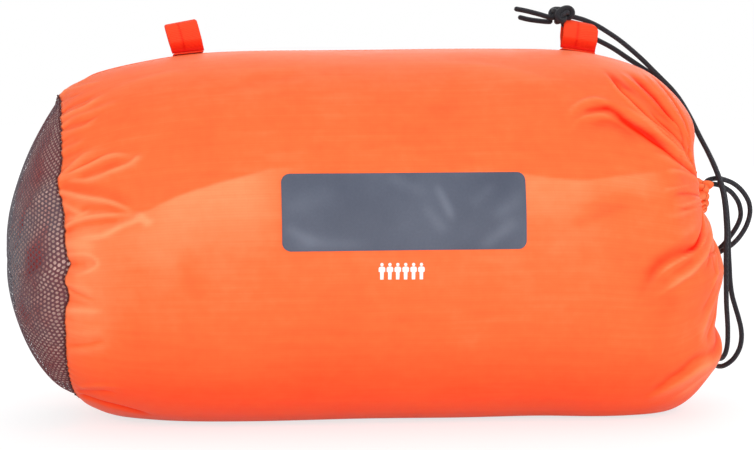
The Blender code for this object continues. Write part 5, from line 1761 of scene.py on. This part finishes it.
def folded_sheet(name, node, between, depth, wall, layers, thick, end, finish):
    """One sheet folded to and fro across the wall's depth: runs round the roll joined by
    half turns, swept along the sack."""
    spacing = (wall - thick) / layers
    first, last = np.radians(between[0] + 2), np.radians(between[1] - 2)
    turn = np.linspace(0, pi, 7)[1:-1]
    radius_at = 60 * MM
    angle, inset = [], []
    for k in range(layers):
        run = np.linspace(first, last, 46)
        run = run if k % 2 == 0 else run[::-1]
        level = depth + thick / 2 + spacing * (k + 0.5)
        angle.append(run)
        inset.append(level + 0.06 * spacing * np.sin(run * 9 + k))
        if k < layers - 1:
            way = 1 if k % 2 == 0 else -1
            angle.append(run[-1] + way * spacing / 2 * np.sin(turn) / radius_at)
            inset.append(level + spacing / 2 * (1 - np.cos(turn)))
    angle, inset = np.concatenate(angle), np.concatenate(inset)
    rows = np.linspace(LAYER_FROM, end, 44)
    grid_s, grid_a = np.meshgrid(rows, angle, indexing="ij")
    points = bare(grid_s, grid_a, inset[None] + 0 * grid_s)
    spots = np.stack([running(points, 1), running(points, 0)], axis=-1)
    made = piece(name, points, grid_faces(*grid_s.shape), finish, spots, None, None, SACK, False)
    cloth = made.modifiers.new("wall", "SOLIDIFY")
    cloth.thickness, cloth.offset = thick, 0
    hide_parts(node)


# Stage

FLOOR_REACH = 3.0
LAMP_TARGET = (0, 0, 0.09)


def seen_directly(nodes):
    """One where the camera sees a place directly, in a reflection or through clear film."""
    rays = [nodes.node("ShaderNodeLightPath", out=f"Is {kind} Ray")
            for kind in ("Camera", "Glossy", "Transmission")]
    return rays[0].most(rays[1]).most(rays[2])


def make_floor():
    """A plain pale floor that keeps the object's shadow."""
    finish = Finish("floor")
    seen = seen_directly(finish)
    finish.paint(colour=(0.38, 0.38, 0.385), rough=0.9, gloss=0.0)
    finish.shader.inputs["Emission Color"].default_value = (1, 1, 1, 1)
    finish.shader.inputs["Emission Strength"].default_value = 0.72
    dull = finish.node("ShaderNodeBsdfDiffuse", inputs={"Color": (0.94, 0.93, 0.925)})
    mixed = finish.node("ShaderNodeMixShader", inputs={0: seen, 1: dull})
    finish.tree.links.new(finish.shader.outputs[0], mixed.socket.node.inputs[2])
    out = finish.tree.nodes["Material Output"]
    finish.tree.links.new(mixed.socket, out.inputs["Surface"])
    mesh = bpy.data.meshes.new("floor")
    corners = [(x * FLOOR_REACH, y * FLOOR_REACH, 0)
               for x, y in ((-1, -1), (1, -1), (1, 1), (-1, 1))]
    mesh.from_pydata(corners, [], [(0, 1, 2, 3)])
    mesh.materials.append(finish.material)
    floor = bpy.data.objects.new("floor", mesh)
    bpy.context.scene.collection.objects.link(floor)


def make_surround():
    """A plain surround, white where it is seen and dimmer where it lights the object."""
    world = bpy.data.worlds.new("surround")
    bpy.context.scene.world = world
    world.use_nodes = True
    tree = world.node_tree
    lit = tree.nodes["Background"]
    lit.inputs["Color"].default_value = (1, 1, 1, 1)
    lit.inputs["Strength"].default_value = 0.74
    white = tree.nodes.new("ShaderNodeBackground")
    white.inputs["Color"].default_value = (1, 1, 1, 1)
    chooser = tree.nodes.new("ShaderNodeMixShader")
    tree.links.new(seen_directly(Nodes(tree)).socket, chooser.inputs[0])
    tree.links.new(lit.outputs[0], chooser.inputs[1])
    tree.links.new(white.outputs[0], chooser.inputs[2])
    tree.links.new(chooser.outputs[0], tree.nodes["World Output"].inputs["Surface"])


def make_lamps():
    """Soft square lamps that point at the sack: their places, sizes and powers."""
    for name, spot, size, power in (
        ("key", (-0.70, -1.6, 0.75), 1.2, 5.8),
        ("low", (0.25, -1.6, 0.06), 0.9, 18),
        ("top", (0.1, 0.2, 1.6), 1.5, 3),
        ("back", (0.5, 1.6, 0.7), 1.3, 8),
    ):
        lamp = bpy.data.lights.new(name, "AREA")
        lamp.energy, lamp.size = power, size
        lamp_at = bpy.data.objects.new(name, lamp)
        lamp_at.location = spot
        way = Vector(LAMP_TARGET) - Vector(spot)
        lamp_at.rotation_euler = way.to_track_quat("-Z", "Y").to_euler()
        bpy.context.scene.collection.objects.link(lamp_at)


def main():
    place_camera()
    cord = cord_braid()
    make_cords(cord)
    nylon = sack_cloth()
    tape = tape_cloth("tape_weave", TAPE_RED, TAPE_DEEP_AND_PAINTED_SHADE)
    canopy = canopy_cloth()
    make_sack(nylon)
    make_net(net_yarn())
    # Near-black maroon thread: partly real stitching, partly painted shade of the gaps at the seam
    make_base_seam(tape, thread("net_thread_and_gap_shade", (0.10, 0.012, 0.012), (0.05, 0.008, 0.01)))
    make_seam(nylon, thread("seam_thread", (0.95, 0.27, 0.12), (0.90, 0.14, 0.05)))
    make_loops(tape, thread("bar_thread", (0.92, 0.10, 0.035), (0.62, 0.02, 0.01)))
    make_hem(nylon)
    make_print(print_film())
    make_figures(ink())
    make_canopy(canopy)
    make_panels(canopy, seat_cloth(), clear_film(), glint_tape())
    make_floor()
    make_surround()
    make_lamps()
    bpy.context.scene.view_settings.view_transform = "Standard"


main()
